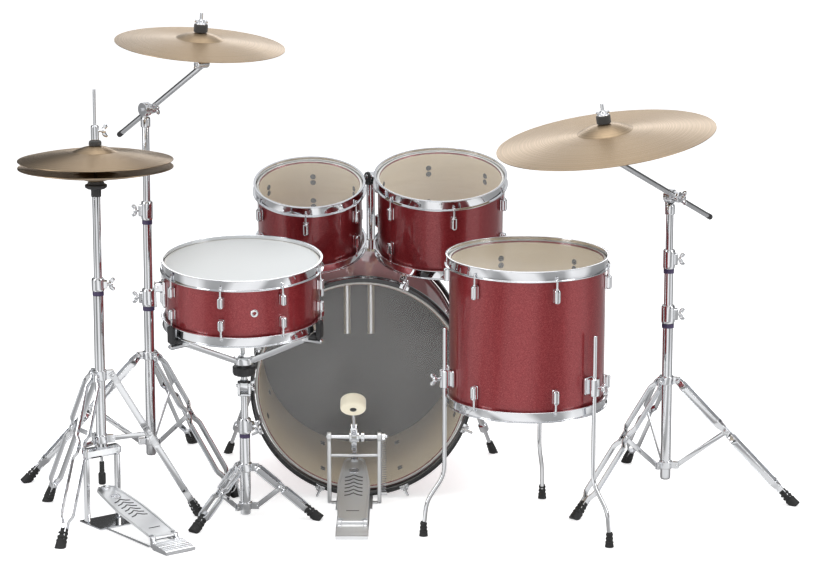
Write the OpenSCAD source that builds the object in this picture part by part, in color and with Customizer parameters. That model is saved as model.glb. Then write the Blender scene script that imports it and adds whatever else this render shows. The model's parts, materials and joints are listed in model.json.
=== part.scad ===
// Five-piece acoustic drum kit with cymbals, stands and foot pedals.
// The drummer sits at -Y and looks along +Y; X is to the right and the floor is z = 0.
// The origin is on the underside of the kick pedal's base plate, below the batter hoop.

/* [Bass drum] */
// Outer diameter of the bass shell
bass_d = 508; // [420:2:620]
// Depth of the bass shell
bass_depth = 432; // [380:2:560]
// Wall of the bass shell
bass_wall = 7; // [5:0.5:12]
// Axial width of each wooden hoop
bass_hoop_w = 38; // [30:1:46]
// Radial thickness of each wooden hoop
bass_hoop_t = 10; // [8:0.5:14]
// How far a hoop stands out past its head
bass_hoop_proud = 22; // [16:1:24]
// Height of the hoop above the floor, where the pedal plate slips under it
bass_clear = 4; // [3.6:0.1:12]
// Turn of the bass drum seen from above
bass_yaw = 2; // [0:0.5:4]
// Tension claws on each hoop
bass_claw_n = 8; // [6:1:10]

/* [Tom-toms] */
// Shell diameter of the small tom
tom1_d = 254; // [203:1:280]
// Shell depth of the small tom
tom1_depth = 163; // [140:1:163]
// Small tom: rim centre across the kit
tom1_x = -129; // [-180:1:-125]
// Small tom: rim centre from front to back
tom1_y = 163; // [150:1:175]
// Small tom: rim centre above the top of the bass shell
tom1_rise = 220; // [219:1:280]
// Small tom: lean towards the drummer
tom1_tilt = 19.2; // [10:0.1:20]
// Shell diameter of the large tom
tom2_d = 305; // [254:1:330]
// Shell depth of the large tom
tom2_depth = 190; // [160:1:190]
// Large tom: rim centre across the kit
tom2_x = 189; // [185:1:230]
// Large tom: rim centre from front to back
tom2_y = 158; // [145:1:170]
// Large tom: rim centre above the top of the bass shell
tom2_rise = 241; // [240:1:290]
// Large tom: lean towards the drummer
tom2_tilt = 15.6; // [8:0.1:18]

/* [Floor tom] */
// Shell diameter of the floor tom
floor_d = 356; // [300:1:410]
// Shell depth of the floor tom
floor_depth = 330; // [300:1:410]
// Floor tom: rim centre across the kit
floor_x = 382; // [370:1:450]
// Floor tom: rim centre from front to back
floor_y = -275; // [-330:1:-250]
// Height of the floor tom's rim
floor_z = 651; // [600:1:760]
// Floor tom: lean towards the drummer
floor_tilt = 2.4; // [0:0.1:3]

/* [Snare drum] */
// Shell diameter of the snare drum
snare_d = 356; // [300:1:370]
// Shell depth of the snare drum
snare_depth = 140; // [120:1:170]
// Snare stand: post across the kit
snare_x = -272; // [-290:1:-250]
// Snare stand: post from front to back
snare_y = -160; // [-190:1:-140]
// Height of the tilt pivot under the basket
snare_pivot_z = 316; // [300:1:380]
// Snare drum: lean towards the drummer
snare_tilt = 6.4; // [0:0.1:12]

/* [Drum shells and metalwork] */
// Wall of the tom and snare shells
shell_wall = 6; // [4:0.5:10]
// Height of a metal rim above its head
rim_h = 9; // [7:0.5:14]
// Whole height of a metal rim
hoop_h = 25; // [22:0.5:30]
// Height of a lug casting on a tom
lug_h = 32; // [24:1:40]
// Height of a lug casting on the snare drum
snare_lug_h = 25; // [20:1:28]

/* [Cymbals] */
// Diameter of the crash cymbal
crash_d = 406; // [356:1:457]
// Diameter of the ride cymbal
ride_d = 508; // [457:1:560]
// Diameter of the hi-hat cymbals
hihat_d = 356; // [330:1:381]
// Thickness of every cymbal
cymbal_t = 1.4; // [1:0.1:2]

/* [Hi-hat stand] */
// Hi-hat stand: post across the kit
hihat_x = -604; // [-640:1:-590]
// Hi-hat stand: post from front to back
hihat_y = -198; // [-230:1:-180]
// Height of the lower edge of the top hi-hat cymbal
hihat_z = 853; // [780:1:900]
// Opening between the two hi-hat cymbals at the edge
hihat_gap = 15; // [12:1:30]
// Turn of the hi-hat pedal seen from above
hihat_yaw = 38; // [20:1:50]

/* [Boom stands] */
// Crash stand: post across the kit
crash_x = -530; // [-600:1:-500]
// Crash stand: post from front to back
crash_y = 230; // [200:1:260]
// Height of the crash boom's ratchet
crash_ratchet_z = 915; // [860:1:980]
// Ride stand: post across the kit
ride_x = 733; // [700:1:800]
// Ride stand: post from front to back
ride_y = 30; // [0:1:60]
// Height of the ride boom's ratchet
ride_ratchet_z = 733; // [700:1:800]
// Radius at which the feet of a boom stand touch the floor
boom_foot_r = 316; // [280:1:380]

/* [Kick pedal] */
// Middle of the kick pedal across the kit
kick_x = -18; // [-24:1:0]
// Height of the beater axle
kick_axle_z = 163; // [150:1:175]
// Length from the axle to the middle of the beater
beater_reach = 150; // [140:1:155]
// Length of the kick pedal from the hoop to the heel end
kick_len = 356; // [340:1:400]

/* [Hidden] */

// Half of what a wider bass drum adds; the pieces on either side move out by it.
spread = max(0, bass_d - 508) / 2;
snare_cx = snare_x - spread;
hihat_cx = hihat_x - spread;
crash_cx = crash_x - spread;
floor_cx = floor_x + spread;
ride_cx = ride_x + spread;

$fn = 48;

// Clearances shared by everything that moves or fits.
run_fit = 0.05;      // radial clearance of a running fit
side_gap = 0.5;      // gap between faces that turn past each other
nip_gap = 0.4;       // gap beside a loose part

// Heads
film_t = 0.8;        // thickness of a drum head
skirt_gap = 0.4;     // head skirt to shell
skirt_t = 0.8;       // wall of the head's skirt
flesh_out = 2.4;     // flesh hoop past the shell
flesh_h = 4;         // height of the flesh hoop
flesh_drop = 11;     // flesh hoop below the bearing edge

// Metal hoops, measured outwards from the shell
hoop_in = 2.8;
hoop_t = 1.8;
hoop_lip = 8.6;
hoop_out = 11;
flange_t = 2;
rod_off = 7.8;       // tension rod axis past the shell
rod_r = 2.6;
rod_hole_r = 2.95;
rod_head_r = 3.1;
rod_head_h = 9;
lug_w = 15;
lug_out = 17;
lug_drop = 42;       // top of a tom lug below the rim
snare_lug_drop = 40;

// Bass drum
bass_hoop_ir = bass_d / 2 + 4;
bass_hoop_or = bass_hoop_ir + bass_hoop_t;
bass_z = bass_hoop_or + bass_clear;
bass_top = bass_z + bass_d / 2;
bass_len = bass_depth + 2 * bass_hoop_proud;
claw_w = 22;
claw_t = 3;
claw_bite = 8;
claw_rod_off = 4.6;  // claw rod past the hoop
claw_a0 = 180 / bass_claw_n;
bass_lug_h = 34;
bass_lug_w = 16;
bass_lug_drop = 75;  // bass lug from its end of the shell

// Tom mount on the bass drum
mount_from_edge = 59;
mount_y = bass_hoop_proud + bass_depth - mount_from_edge;
mount_w = 100;
mount_l = 64;
mount_h = 12;
socket_h = 26;
pipe_r = 11;
pipe_x = 30;
pipe_hole_r = 12.5;
pipe_drop = 204;     // pipe end below the top of the bass shell

// Tom arms
arm1_z = bass_top + 186;
arm2_z = bass_top + 199;
knuckle_r = 12;
knuckle_w = 15;
cheek_t = 5;
pin_r = 4;
tom_rod_r = 6.3;
bracket_w = 48;
bracket_h = 56;
bracket_t = 9;

// Spurs
spur_y = 330;
spur_angle = 195;
spur_hub_off = 26;
spur_foot_x = 341;
spur_foot_y = 430;
spur_r = 8;
spur_tip_r = 5;
spur_foot_h = 30;

// Floor tom legs
floor_leg_r = 5;
floor_leg_off = 20;
floor_leg_a0 = 78;
floor_foot_out = 50;
floor_foot_h = 14;
floor_bracket_z = 278;
floor_bracket_h = 40;

// Tripods
leg_w = 15;
leg_t = 2;
leg_gap = 9;
brace_t = 3;
foot_r = 11;
foot_len = 42;
tube_r = 12.5;
mid_r = 11;
post_r = 9;
wall = 1.5;

// Boom stands
crash_foot_a = 75.7;
ride_foot_a = 102.7;
leg_collar_z = 302;
low_collar_z = 84;
ride_leg_collar_z = 285;
ride_low_collar_z = 76;
collar2_z = 426;
collar1_z = 642;
ride_collar2_z = 425;
ride_collar1_z = 558;
joint_at = 0.43;     // where a brace meets its leg, as a share of the leg
ratchet_r = 17;
ratchet_t = 10;
ratchet_pin_r = 4;
boom_r = 6.5;
boom_off = ratchet_t + boom_r + 1.5;

// Cymbals
crash_c = [-384 - spread, 93, 1087];
crash_lean = [5.2, 4.3];
ride_c = [565 + spread, -164, 896];
ride_lean = [5.8, -8.1];
crash_rise = 30;
ride_rise = 38;
hihat_rise = 34;
cymbal_hole_r = 6.5;
sleeve_r = 6.4;
stud_r = 4;
felt_r = 17;
felt_t = 8;
cymbal_gap = 1;      // felt to bell where the bell's curve meets it
boom_end_drop = 48;  // boom end below the cymbal's edge plane

// Hi-hat stand
hihat_foot_a = 11.6;
hihat_foot_r = 234;
hihat_leg_z = 350;
hihat_hub_z = 198;
hihat_tube_r = 12;
hihat_post_r = 9.5;
hihat_collar_z = 549;
hihat_rod_r = 3.5;
hihat_seat_z = 803;
yoke_w = 84;
yoke_z = 156;
yoke_h = 24;
hihat_heel_y = -262;
hihat_hinge_z = 22;
hihat_toe_z = 80;
hihat_pedal_w = 78;

// Snare stand
snare_foot_a = -9.4;
snare_foot_r = 175;
snare_leg_z = 120;
snare_hub_z = 27;
snare_rim_up = 313;  // rim above the tilt pivot, along the drum's axis
basket_a0 = 97;
snare_collar_z = 202;

// Kick pedal
kick_half = 60;
kick_axle_y = -45;
kick_axle_r = 5;
kick_hinge_y = -(kick_len - 66);
kick_hinge_z = 22;
kick_toe_z = 97;
sprocket_r = 34;
kick_toe_y = kick_axle_y + sprocket_r;
kick_plate_t = 3;
beater_r = 30;
beater_t = 30;
beater_lean = 45;

// ---------- small helpers ----------

// Children's z axis runs from p towards q.
module along(p, q) {
    d = q - p;
    translate(p) rotate([0, acos(d[2] / norm(d)), atan2(d[1], d[0])]) children();
}

module rod(p, q, r) {
    along(p, q) cylinder(h = norm(q - p), r = r);
}

// Flat bar from p to q: w is its depth in the upright plane, off moves it sideways.
module flat_bar(p, q, w, t, off = 0) {
    along(p, q) translate([-w / 2, off - t / 2, 0]) cube([w, t, norm(q - p)]);
}

module ring(ro, ri, h) {
    difference() {
        cylinder(h = h, r = ro);
        translate([0, 0, -1]) cylinder(h = h + 2, r = ri);
    }
}

module around(n, a0 = 0) {
    for (i = [0:n - 1]) rotate([0, 0, a0 + i * 360 / n]) children();
}

// Wing bolt whose stem runs along +x from the middle of a clamp.
module wing(from, out, span = 30) {
    rotate([0, 90, 0]) cylinder(h = out, r = 3.5);
    translate([from, 0, 0]) rotate([0, 90, 0]) cylinder(h = out - from, r = 5.5);
    translate([out - 4, -span / 2, -5]) cube([4, span, 10]);
}

// Height clamp: a split collar with its wing bolt, on a tube along z.
module clamp_collar(ro, h, wing_a = 180) {
    cylinder(h = h, r = ro);
    translate([0, 0, h / 2]) rotate([0, 0, wing_a]) wing(ro - 2, ro + 18);
}

// ---------- drums: z = 0 is the top of the batter rim ----------

module drum_shell(d, depth) {
    translate([0, 0, -rim_h - depth]) ring(d / 2, d / 2 - shell_wall, depth);
}

module hoop_section(r) {
    polygon([
        [r + hoop_in, -hoop_h], [r + hoop_out, -hoop_h], [r + hoop_out, -hoop_h + flange_t],
        [r + hoop_in + hoop_t, -hoop_h + flange_t], [r + hoop_in + hoop_t, -flange_t],
        [r + hoop_lip, -flange_t], [r + hoop_lip, 0], [r + hoop_in, 0]
    ]);
}

module drum_hoop(d, n, a0) {
    difference() {
        rotate_extrude($fn = 96) hoop_section(d / 2);
        around(n, a0) translate([d / 2 + rod_off, 0, -hoop_h - 1])
            cylinder(h = flange_t + 2, r = rod_hole_r);
    }
}

// The same piece at the batter end and, mirrored, at the far end.
module both_ends(depth) {
    children();
    translate([0, 0, -2 * rim_h - depth]) mirror([0, 0, 1]) children();
}

module head_section(r, edge) {
    polygon([
        [0, edge], [r + skirt_gap, edge], [r + skirt_gap, edge - flesh_drop],
        [r + flesh_out, edge - flesh_drop], [r + flesh_out, edge - flesh_drop + flesh_h],
        [r + skirt_gap + skirt_t, edge - flesh_drop + flesh_h],
        [r + skirt_gap + skirt_t, edge + film_t], [0, edge + film_t]
    ]);
}

module drum_head(d) {
    rotate_extrude($fn = 96) head_section(d / 2, -rim_h);
}

// Lug casting with its tension rod, on the +x side of a shell.
module drum_lug(d, drop, h) {
    difference() {
        union() {
            translate([d / 2 - 2, -lug_w / 2, -drop - h]) cube([lug_out - lug_w / 2 + 2, lug_w, h]);
            translate([d / 2 + lug_out - lug_w / 2, 0, -drop - h]) cylinder(h = h, r = lug_w / 2);
            translate([d / 2 + rod_off, 0, -drop - 2]) cylinder(h = drop + 3 - hoop_h, r = rod_r);
            translate([d / 2 + rod_off, 0, -hoop_h + flange_t])
                cylinder(h = rod_head_h, r = rod_head_r);
        }
        translate([0, 0, -drop - h - 1]) cylinder(h = h + 2, r = d / 2, $fn = 96);
    }
}

module drum_lugs(d, depth, n, a0, drop, h) {
    both_ends(depth) around(n, a0) drum_lug(d, drop, h);
}

// ---------- bass drum: local z points at the drummer, z = 0 is the batter hoop's face ----------

module bass_place() {
    translate([0, 0, bass_z]) rotate([0, 0, bass_yaw]) rotate([90, 0, 0]) children();
}

module bass_ends() {
    children();
    translate([0, 0, -bass_len]) mirror([0, 0, 1]) children();
}

module bass_shell() {
    color("darkred") bass_place() difference() {
        translate([0, 0, -bass_hoop_proud - bass_depth])
            ring(bass_d / 2, bass_d / 2 - bass_wall, bass_depth);
        for (s = [-1, 1]) translate([s * pipe_x, 0, -mount_y]) rotate([-90, 0, 0])
            cylinder(h = bass_d, r = pipe_hole_r);
    }
}

module bass_hoops() {
    color("black") bass_place() bass_ends()
        translate([0, 0, -bass_hoop_w]) ring(bass_hoop_or, bass_hoop_ir, bass_hoop_w);
}

module bass_head() {
    rotate_extrude($fn = 96) head_section(bass_d / 2, -bass_hoop_proud);
}

module bass_batter_head() {
    color("gainsboro") bass_place() bass_head();
}

module bass_front_head() {
    color("black") bass_place() translate([0, 0, -bass_len]) mirror([0, 0, 1]) bass_head();
}

module bass_lug() {
    z0 = -bass_hoop_proud - bass_lug_drop - bass_lug_h;
    out = bass_hoop_or + claw_rod_off + 4;
    difference() {
        translate([bass_d / 2 - 3, -bass_lug_w / 2, z0])
            cube([out - bass_d / 2 + 3, bass_lug_w, bass_lug_h]);
        translate([0, 0, z0 - 1]) cylinder(h = bass_lug_h + 2, r = bass_d / 2, $fn = 96);
    }
}

// Hub of a spur, a round boss on the shell's side.
module spur_hub(a) {
    difference() {
        rotate([0, 0, a]) translate([bass_d / 2 - 4, 0, -spur_y]) rotate([0, 90, 0])
            cylinder(h = spur_hub_off - 8 + 4, r = 21);
        translate([0, 0, -spur_y - 30]) cylinder(h = 60, r = bass_d / 2, $fn = 96);
    }
}

module bass_lugs() {
    color("silver") bass_place() {
        bass_ends() around(bass_claw_n, claw_a0) bass_lug();
        spur_hub(spur_angle);
        spur_hub(180 - spur_angle);
    }
}

module bass_claw() {
    rod_at = bass_hoop_or + claw_rod_off;
    difference() {
        union() {
            translate([bass_hoop_or - claw_bite, -claw_w / 2, 0])
                cube([claw_bite + claw_t, claw_w, claw_t]);
            translate([bass_hoop_or - 1, -claw_w / 2, -16]) cube([claw_t + 1, claw_w, 16 + claw_t]);
            translate([bass_hoop_or, -7, -16]) cube([claw_rod_off + 4.5, 14, 12]);
            translate([rod_at, 0, -bass_hoop_proud - bass_lug_drop])
                cylinder(h = bass_hoop_proud + bass_lug_drop + 12, r = 3);
            translate([rod_at - 14, 0, 12]) rotate([0, 90, 0]) cylinder(h = 28, r = 3.5);
        }
        translate([0, 0, -bass_hoop_w]) cylinder(h = bass_hoop_w, r = bass_hoop_or, $fn = 96);
    }
}

module bass_claws() {
    color("silver") bass_place() bass_ends() around(bass_claw_n, claw_a0) bass_claw();
}

// ---------- spurs ----------

// Children's origin is the spur's pivot on the shell; side is -1 left, 1 right.
function spur_pivot(side) =
    let (rr = bass_d / 2 + spur_hub_off, x = -side * rr * cos(spur_angle))
    [x * cos(bass_yaw) - spur_y * sin(bass_yaw), spur_y * cos(bass_yaw) + x * sin(bass_yaw),
     bass_z + rr * sin(spur_angle)];
function spur_foot(side) = [side * spur_foot_x - spur_y * sin(bass_yaw), spur_foot_y, 0];
// Outward direction of a spur's hinge pin.
function spur_pin(side) =
    [-side * cos(spur_angle) * cos(bass_yaw), -side * cos(spur_angle) * sin(bass_yaw),
     sin(spur_angle)];

module spur(side) {
    p = spur_pivot(side);
    f = spur_foot(side);
    d = (f - p) / norm(f - p);
    tip = f - d * (foot_r * 0.6);
    difference() {
        union() {
            rod(p - spur_pin(side) * 7.5, p + spur_pin(side) * 10, 18);
            rod(p + d * 6, p + d * 150, spur_r);
            rod(p + d * 132, p + d * 152, spur_r + 4);
            rod(p + d * 140, f - d * (spur_foot_h * 0.8), spur_tip_r);
            rod(f - d * spur_foot_h, f + d * 8, foot_r);
        }
        translate(f - [50, 50, 100]) cube([100, 100, 100]);
    }
}

module spur_left() { color("silver") spur(-1); }
module spur_right() { color("silver") spur(1); }

// ---------- tom mount and arms ----------

function yawed(x, y) =
    [x * cos(bass_yaw) - y * sin(bass_yaw), x * sin(bass_yaw) + y * cos(bass_yaw)];
function pipe_at(side, z) = let (p = yawed(side * pipe_x, mount_y)) [p[0], p[1], z];

module tom_mount() {
    color("silver") difference() {
        bass_place() difference() {
            union() {
                translate([-mount_w / 2, bass_d / 2 - 12, -mount_y - mount_l / 2])
                    cube([mount_w, 12 + mount_h, mount_l]);
                for (s = [-1, 1]) translate([s * pipe_x, bass_d / 2, -mount_y])
                    rotate([-90, 0, 0]) cylinder(h = mount_h + socket_h, r = pipe_r + 7);
            }
            translate([0, 0, -mount_y - mount_l])
                cylinder(h = 2 * mount_l, r = bass_d / 2, $fn = 96);
        }
        for (s = [-1, 1]) translate(pipe_at(s, bass_z)) cylinder(h = bass_d, r = pipe_r + run_fit);
    }
}

// Arm with a sliding pipe and a fork at the top that carries the tom's knuckle.
module tom_arm(side, z, turn) {
    p = pipe_at(side, 0);
    w = knuckle_w / 2 + side_gap;
    color("silver") {
        translate([p[0], p[1], bass_top - pipe_drop])
            difference() {
                cylinder(h = z - knuckle_r - 6 - bass_top + pipe_drop, r = pipe_r);
                translate([0, 0, -1]) cylinder(h = pipe_drop - 40, r = pipe_r - 2);
            }
        translate([p[0], p[1], z]) rotate([0, 0, turn + 90]) {
            translate([-w - cheek_t, -pipe_r, -knuckle_r - 10])
                cube([2 * w + 2 * cheek_t, 2 * pipe_r, 8]);
            for (s = [0, 1]) mirror([s, 0, 0]) {
                translate([w, -pipe_r, -knuckle_r - 4]) cube([cheek_t, 2 * pipe_r, knuckle_r + 4]);
                translate([w, 0, 0]) rotate([0, 90, 0]) cylinder(h = cheek_t, r = pipe_r);
            }
            translate([-w - cheek_t - 2, 0, 0]) rotate([0, 90, 0])
                cylinder(h = 2 * w + 2 * cheek_t + 4, r = pin_r);
        }
    }
}

module tom1_arm() { tom_arm(-1, arm1_z, fork_turn(tom1_q, tom1_tilt)); }
module tom2_arm() { tom_arm(1, arm2_z, fork_turn(tom2_q, tom2_tilt)); }

module tom1_place() {
    translate([tom1_x, tom1_y, bass_top + tom1_rise]) rotate([tom1_tilt, 0, 0]) children();
}
module tom2_place() {
    translate([tom2_x, tom2_y, bass_top + tom2_rise]) rotate([tom2_tilt, 0, 0]) children();
}

// A point of the kit in the frame of a drum that leans by t about X at c.
function in_drum(p, c, t) =
    let (d = p - c) [d[0], d[1] * cos(t) + d[2] * sin(t), -d[1] * sin(t) + d[2] * cos(t)];

// Pins of the two arms, each in its own drum's frame.
tom1_q = in_drum(pipe_at(-1, arm1_z), [tom1_x, tom1_y, bass_top + tom1_rise], tom1_tilt);
tom2_q = in_drum(pipe_at(1, arm2_z), [tom2_x, tom2_y, bass_top + tom2_rise], tom2_tilt);
// Direction seen from above in which the rod from pin q leaves its drum.
function fork_turn(q, t) = atan2(q[1] * cos(t), q[0]);
// The level hinge line at q, in the frame of a drum that leans by t.
function fork_pin(q, t) = let (f = fork_turn(q, t)) [-sin(f), cos(f) * cos(t), -cos(f) * sin(t)];

// Shell bracket, rod and knuckle that hang a tom on its arm; q is the arm's pin.
module tom_bracket(d, q, t) {
    a = atan2(q[1], q[0]);
    rho = norm([q[0], q[1]]);
    difference() {
        union() {
            rotate([0, 0, a]) translate([d / 2 - 3, -bracket_w / 2, q[2] - bracket_h / 2])
                cube([bracket_t + 3, bracket_w, bracket_h]);
            rotate([0, 0, a]) translate([d / 2 + 1, 0, q[2]]) rotate([0, 90, 0])
                cylinder(h = 22, r = 14);
            rotate([0, 0, a]) translate([d / 2 + 1, 0, q[2]]) rotate([0, 90, 0])
                cylinder(h = rho - d / 2 - 8, r = tom_rod_r);
            rod(q - fork_pin(q, t) * knuckle_w / 2, q + fork_pin(q, t) * knuckle_w / 2, knuckle_r);
        }
        translate([0, 0, q[2] - 60]) cylinder(h = 120, r = d / 2, $fn = 96);
        rod(q - fork_pin(q, t) * knuckle_w, q + fork_pin(q, t) * knuckle_w, pin_r + run_fit);
    }
}

tom1_a0 = -32;
tom2_a0 = -19;
tom_lug_n = 6;

module tom1_shell() { color("firebrick") tom1_place() drum_shell(tom1_d, tom1_depth); }
module tom1_hoops() {
    color("silver") tom1_place() both_ends(tom1_depth) drum_hoop(tom1_d, tom_lug_n, tom1_a0);
}
module tom1_heads() { color("gainsboro") tom1_place() both_ends(tom1_depth) drum_head(tom1_d); }
module tom1_fittings() {
    color("silver") tom1_place() {
        drum_lugs(tom1_d, tom1_depth, tom_lug_n, tom1_a0, lug_drop, lug_h);
        tom_bracket(tom1_d, tom1_q, tom1_tilt);
    }
}

module tom2_shell() { color("firebrick") tom2_place() drum_shell(tom2_d, tom2_depth); }
module tom2_hoops() {
    color("silver") tom2_place() both_ends(tom2_depth) drum_hoop(tom2_d, tom_lug_n, tom2_a0);
}
module tom2_heads() { color("gainsboro") tom2_place() both_ends(tom2_depth) drum_head(tom2_d); }
module tom2_fittings() {
    color("silver") tom2_place() {
        drum_lugs(tom2_d, tom2_depth, tom_lug_n, tom2_a0, lug_drop, lug_h);
        tom_bracket(tom2_d, tom2_q, tom2_tilt);
    }
}

// ---------- floor tom ----------

floor_a0 = -11.6;

module floor_place() {
    translate([floor_cx, floor_y, floor_z]) rotate([floor_tilt, 0, 0]) children();
}

module floor_tom_shell() { color("firebrick") floor_place() drum_shell(floor_d, floor_depth); }
module floor_tom_hoops() {
    color("silver") floor_place() both_ends(floor_depth) drum_hoop(floor_d, tom_lug_n, floor_a0);
}
module floor_tom_heads() {
    color("gainsboro") floor_place() both_ends(floor_depth) drum_head(floor_d);
}

// Leg bracket on the +x side of the shell, with the bore that the leg slides in.
module floor_bracket() {
    r = floor_d / 2;
    difference() {
        union() {
            translate([r - 3, -17, -floor_bracket_z - floor_bracket_h / 2])
                cube([10, 34, floor_bracket_h]);
            translate([r + floor_leg_off, 0, -floor_bracket_z - floor_bracket_h / 2])
                cylinder(h = floor_bracket_h, r = 12);
            translate([r + 2, -9, -floor_bracket_z - floor_bracket_h / 2])
                cube([floor_leg_off, 18, floor_bracket_h]);
            translate([r + floor_leg_off + 6, 0, -floor_bracket_z])
                rotate([0, 0, 0]) wing(5, 22, 26);
        }
        translate([0, 0, -floor_bracket_z - floor_bracket_h])
            cylinder(h = 2 * floor_bracket_h, r = r, $fn = 96);
        translate([r + floor_leg_off, 0, -floor_bracket_z - floor_bracket_h])
            cylinder(h = 2 * floor_bracket_h, r = floor_leg_r + run_fit);
    }
}

module floor_tom_fittings() {
    color("silver") floor_place() {
        drum_lugs(floor_d, floor_depth, tom_lug_n, floor_a0, lug_drop, lug_h);
        around(3, floor_leg_a0) floor_bracket();
    }
}

// Leg i in the drum's frame: a straight rod, a bend outwards, and a straight end.
function floor_polar(r, i, z) =
    let (a = floor_leg_a0 + i * 120) [r * cos(a), r * sin(a), z];
// Height in the drum's frame that lies h above the floor at p.
function floor_drop(p, h) = (h - floor_z - p[1] * sin(floor_tilt)) / cos(floor_tilt);
floor_leg_at = floor_d / 2 + floor_leg_off;
function floor_leg_point(r, i, h) =
    let (p = floor_polar(r, i, 0)) [p[0], p[1], floor_drop(p, h)];

module floor_leg(i) {
    top = floor_polar(floor_leg_at, i, -rim_h - 150);
    knee = floor_leg_point(floor_leg_at, i, 142);
    ankle = floor_leg_point(floor_leg_at + floor_foot_out * 0.86, i, 82);
    end = floor_leg_point(floor_leg_at + floor_foot_out, i, floor_foot_h + 1.5);
    rod(knee, top, floor_leg_r);
    rod(ankle, knee, floor_leg_r);
    rod(end, ankle, floor_leg_r);
    translate(knee) sphere(r = floor_leg_r + 0.4);
    translate(ankle) sphere(r = floor_leg_r + 0.4);
}

module floor_tom_legs() {
    color("silver") floor_place() for (i = [0:2]) floor_leg(i);
}

// ---------- snare drum ----------

snare_a0 = -12;
snare_lug_n = 8;
strainer_a = 190.5;
strainer_z = -78;
strainer_off = 24;

module snare_place() {
    translate([snare_cx, snare_y, snare_pivot_z]) rotate([snare_tilt, 0, 0]) children();
}
module snare_drum_place() { snare_place() translate([0, 0, snare_rim_up]) children(); }

module snare_shell() { color("firebrick") snare_drum_place() drum_shell(snare_d, snare_depth); }
module snare_hoops() {
    color("silver") snare_drum_place() both_ends(snare_depth)
        drum_hoop(snare_d, snare_lug_n, snare_a0);
}
module snare_heads() {
    color("white") snare_drum_place() both_ends(snare_depth) drum_head(snare_d);
}

module snare_fittings() {
    r = snare_d / 2;
    color("silver") snare_drum_place() difference() {
        union() {
            drum_lugs(snare_d, snare_depth, snare_lug_n, snare_a0, snare_lug_drop, snare_lug_h);
            rotate([0, 0, strainer_a]) translate([r - 3, -14, strainer_z - 32])
                cube([12, 28, 68]);
            for (s = [-1, 1]) rotate([0, 0, strainer_a])
                translate([r + 6, s * 11 - 3, strainer_z + 8]) cube([strainer_off - 2, 6, 22]);
            rotate([0, 0, strainer_a - 180]) translate([r - 3, -16, strainer_z - 26])
                cube([14, 32, 48]);
        }
        translate([0, 0, -snare_depth]) cylinder(h = snare_depth, r = r, $fn = 96);
        rotate([0, 0, strainer_a]) translate([r + strainer_off - 4, -20, strainer_z + 20])
            rotate([-90, 0, 0]) cylinder(h = 40, r = 3 + run_fit);
    }
}

// Lever that drops the snare wires, hinged on the throw-off.
module snare_throw_off() {
    r = snare_d / 2;
    color("silver") snare_drum_place() rotate([0, 0, strainer_a])
        translate([r + strainer_off - 4, 0, strainer_z + 20]) {
            translate([0, -14 - side_gap, 0]) rotate([-90, 0, 0]) cylinder(h = 28 + 2 * side_gap, r = 3);
            translate([-6, -8 + side_gap, -8]) cube([12, 16 - 2 * side_gap, 14]);
            translate([1, -6, -50]) cube([5, 12, 48]);
        }
}

// Basket: a hub and three arms that reach under and up the outside of the lower hoop.
module snare_basket() {
    bottom = snare_rim_up - 2 * rim_h - snare_depth;
    hub_z = bottom - 92;
    out = snare_d / 2 + hoop_out + nip_gap;
    color("dimgray") snare_place() {
        difference() {
            union() {
                translate([0, 0, 16]) cylinder(h = hub_z - 8 - 16, r = 8);
                translate([0, 0, hub_z - 34]) cylinder(h = 20, r = 27);
                translate([0, 0, hub_z - 8]) cylinder(h = 18, r = 24);
                rotate([0, 90, 0]) translate([0, 0, -9]) cylinder(h = 18, r = 16);
            }
            rotate([0, 90, 0]) translate([0, 0, -30]) cylinder(h = 60, r = pin_r + run_fit);
        }
        around(3, basket_a0) {
            difference() {
                flat_bar([18, 0, hub_z], [out - 34, 0, bottom - 22], 14, 10);
                translate([0, 0, hub_z - 8]) cylinder(h = 18, r = 24);
            }
            translate([out - 38, -8, bottom - 26]) cube([38 + 12, 16, 12]);
            translate([out, -11, bottom - 14]) cube([12, 22, 44]);
            translate([out - 26, -11, bottom - 14]) cube([26, 22, 14 - nip_gap]);
        }
    }
}

// Height tube of the snare stand with the fork that holds the basket's ratchet.
module snare_post() {
    color("silver") translate([snare_cx, snare_y, 0]) {
        translate([0, 0, snare_hub_z + 60])
            cylinder(h = snare_pivot_z - 21 - snare_hub_z - 60, r = post_r);
        translate([-9 - side_gap - 6, -13, snare_pivot_z - 24])
            cube([2 * (15 + side_gap), 26, 6]);
        for (s = [0, 1]) mirror([s, 0, 0]) {
            translate([9 + side_gap, -13, snare_pivot_z - 20]) cube([6, 26, 20]);
            translate([9 + side_gap, 0, snare_pivot_z]) rotate([0, 90, 0]) cylinder(h = 6, r = 13);
        }
        translate([-19, 0, snare_pivot_z]) rotate([0, 90, 0]) cylinder(h = 38, r = pin_r);
    }
}

module snare_base() {
    color("silver") translate([snare_cx, snare_y, 0]) difference() {
        union() {
            translate([0, 0, 6]) cylinder(h = snare_collar_z - 6, r = tube_r);
            translate([0, 0, snare_collar_z]) clamp_collar(tube_r + 3, 36, -20);
            leg_ring(snare_leg_z, tube_r - wall / 2, 20, snare_foot_a);
            brace_ring(snare_hub_z, tube_r, 17, snare_foot_a);
        }
        translate([0, 0, 20]) cylinder(h = snare_collar_z - 20, r = tube_r - wall);
        translate([0, 0, 20]) cylinder(h = snare_collar_z + 40, r = post_r + run_fit);
    }
}

// ---------- tripods ----------

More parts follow.
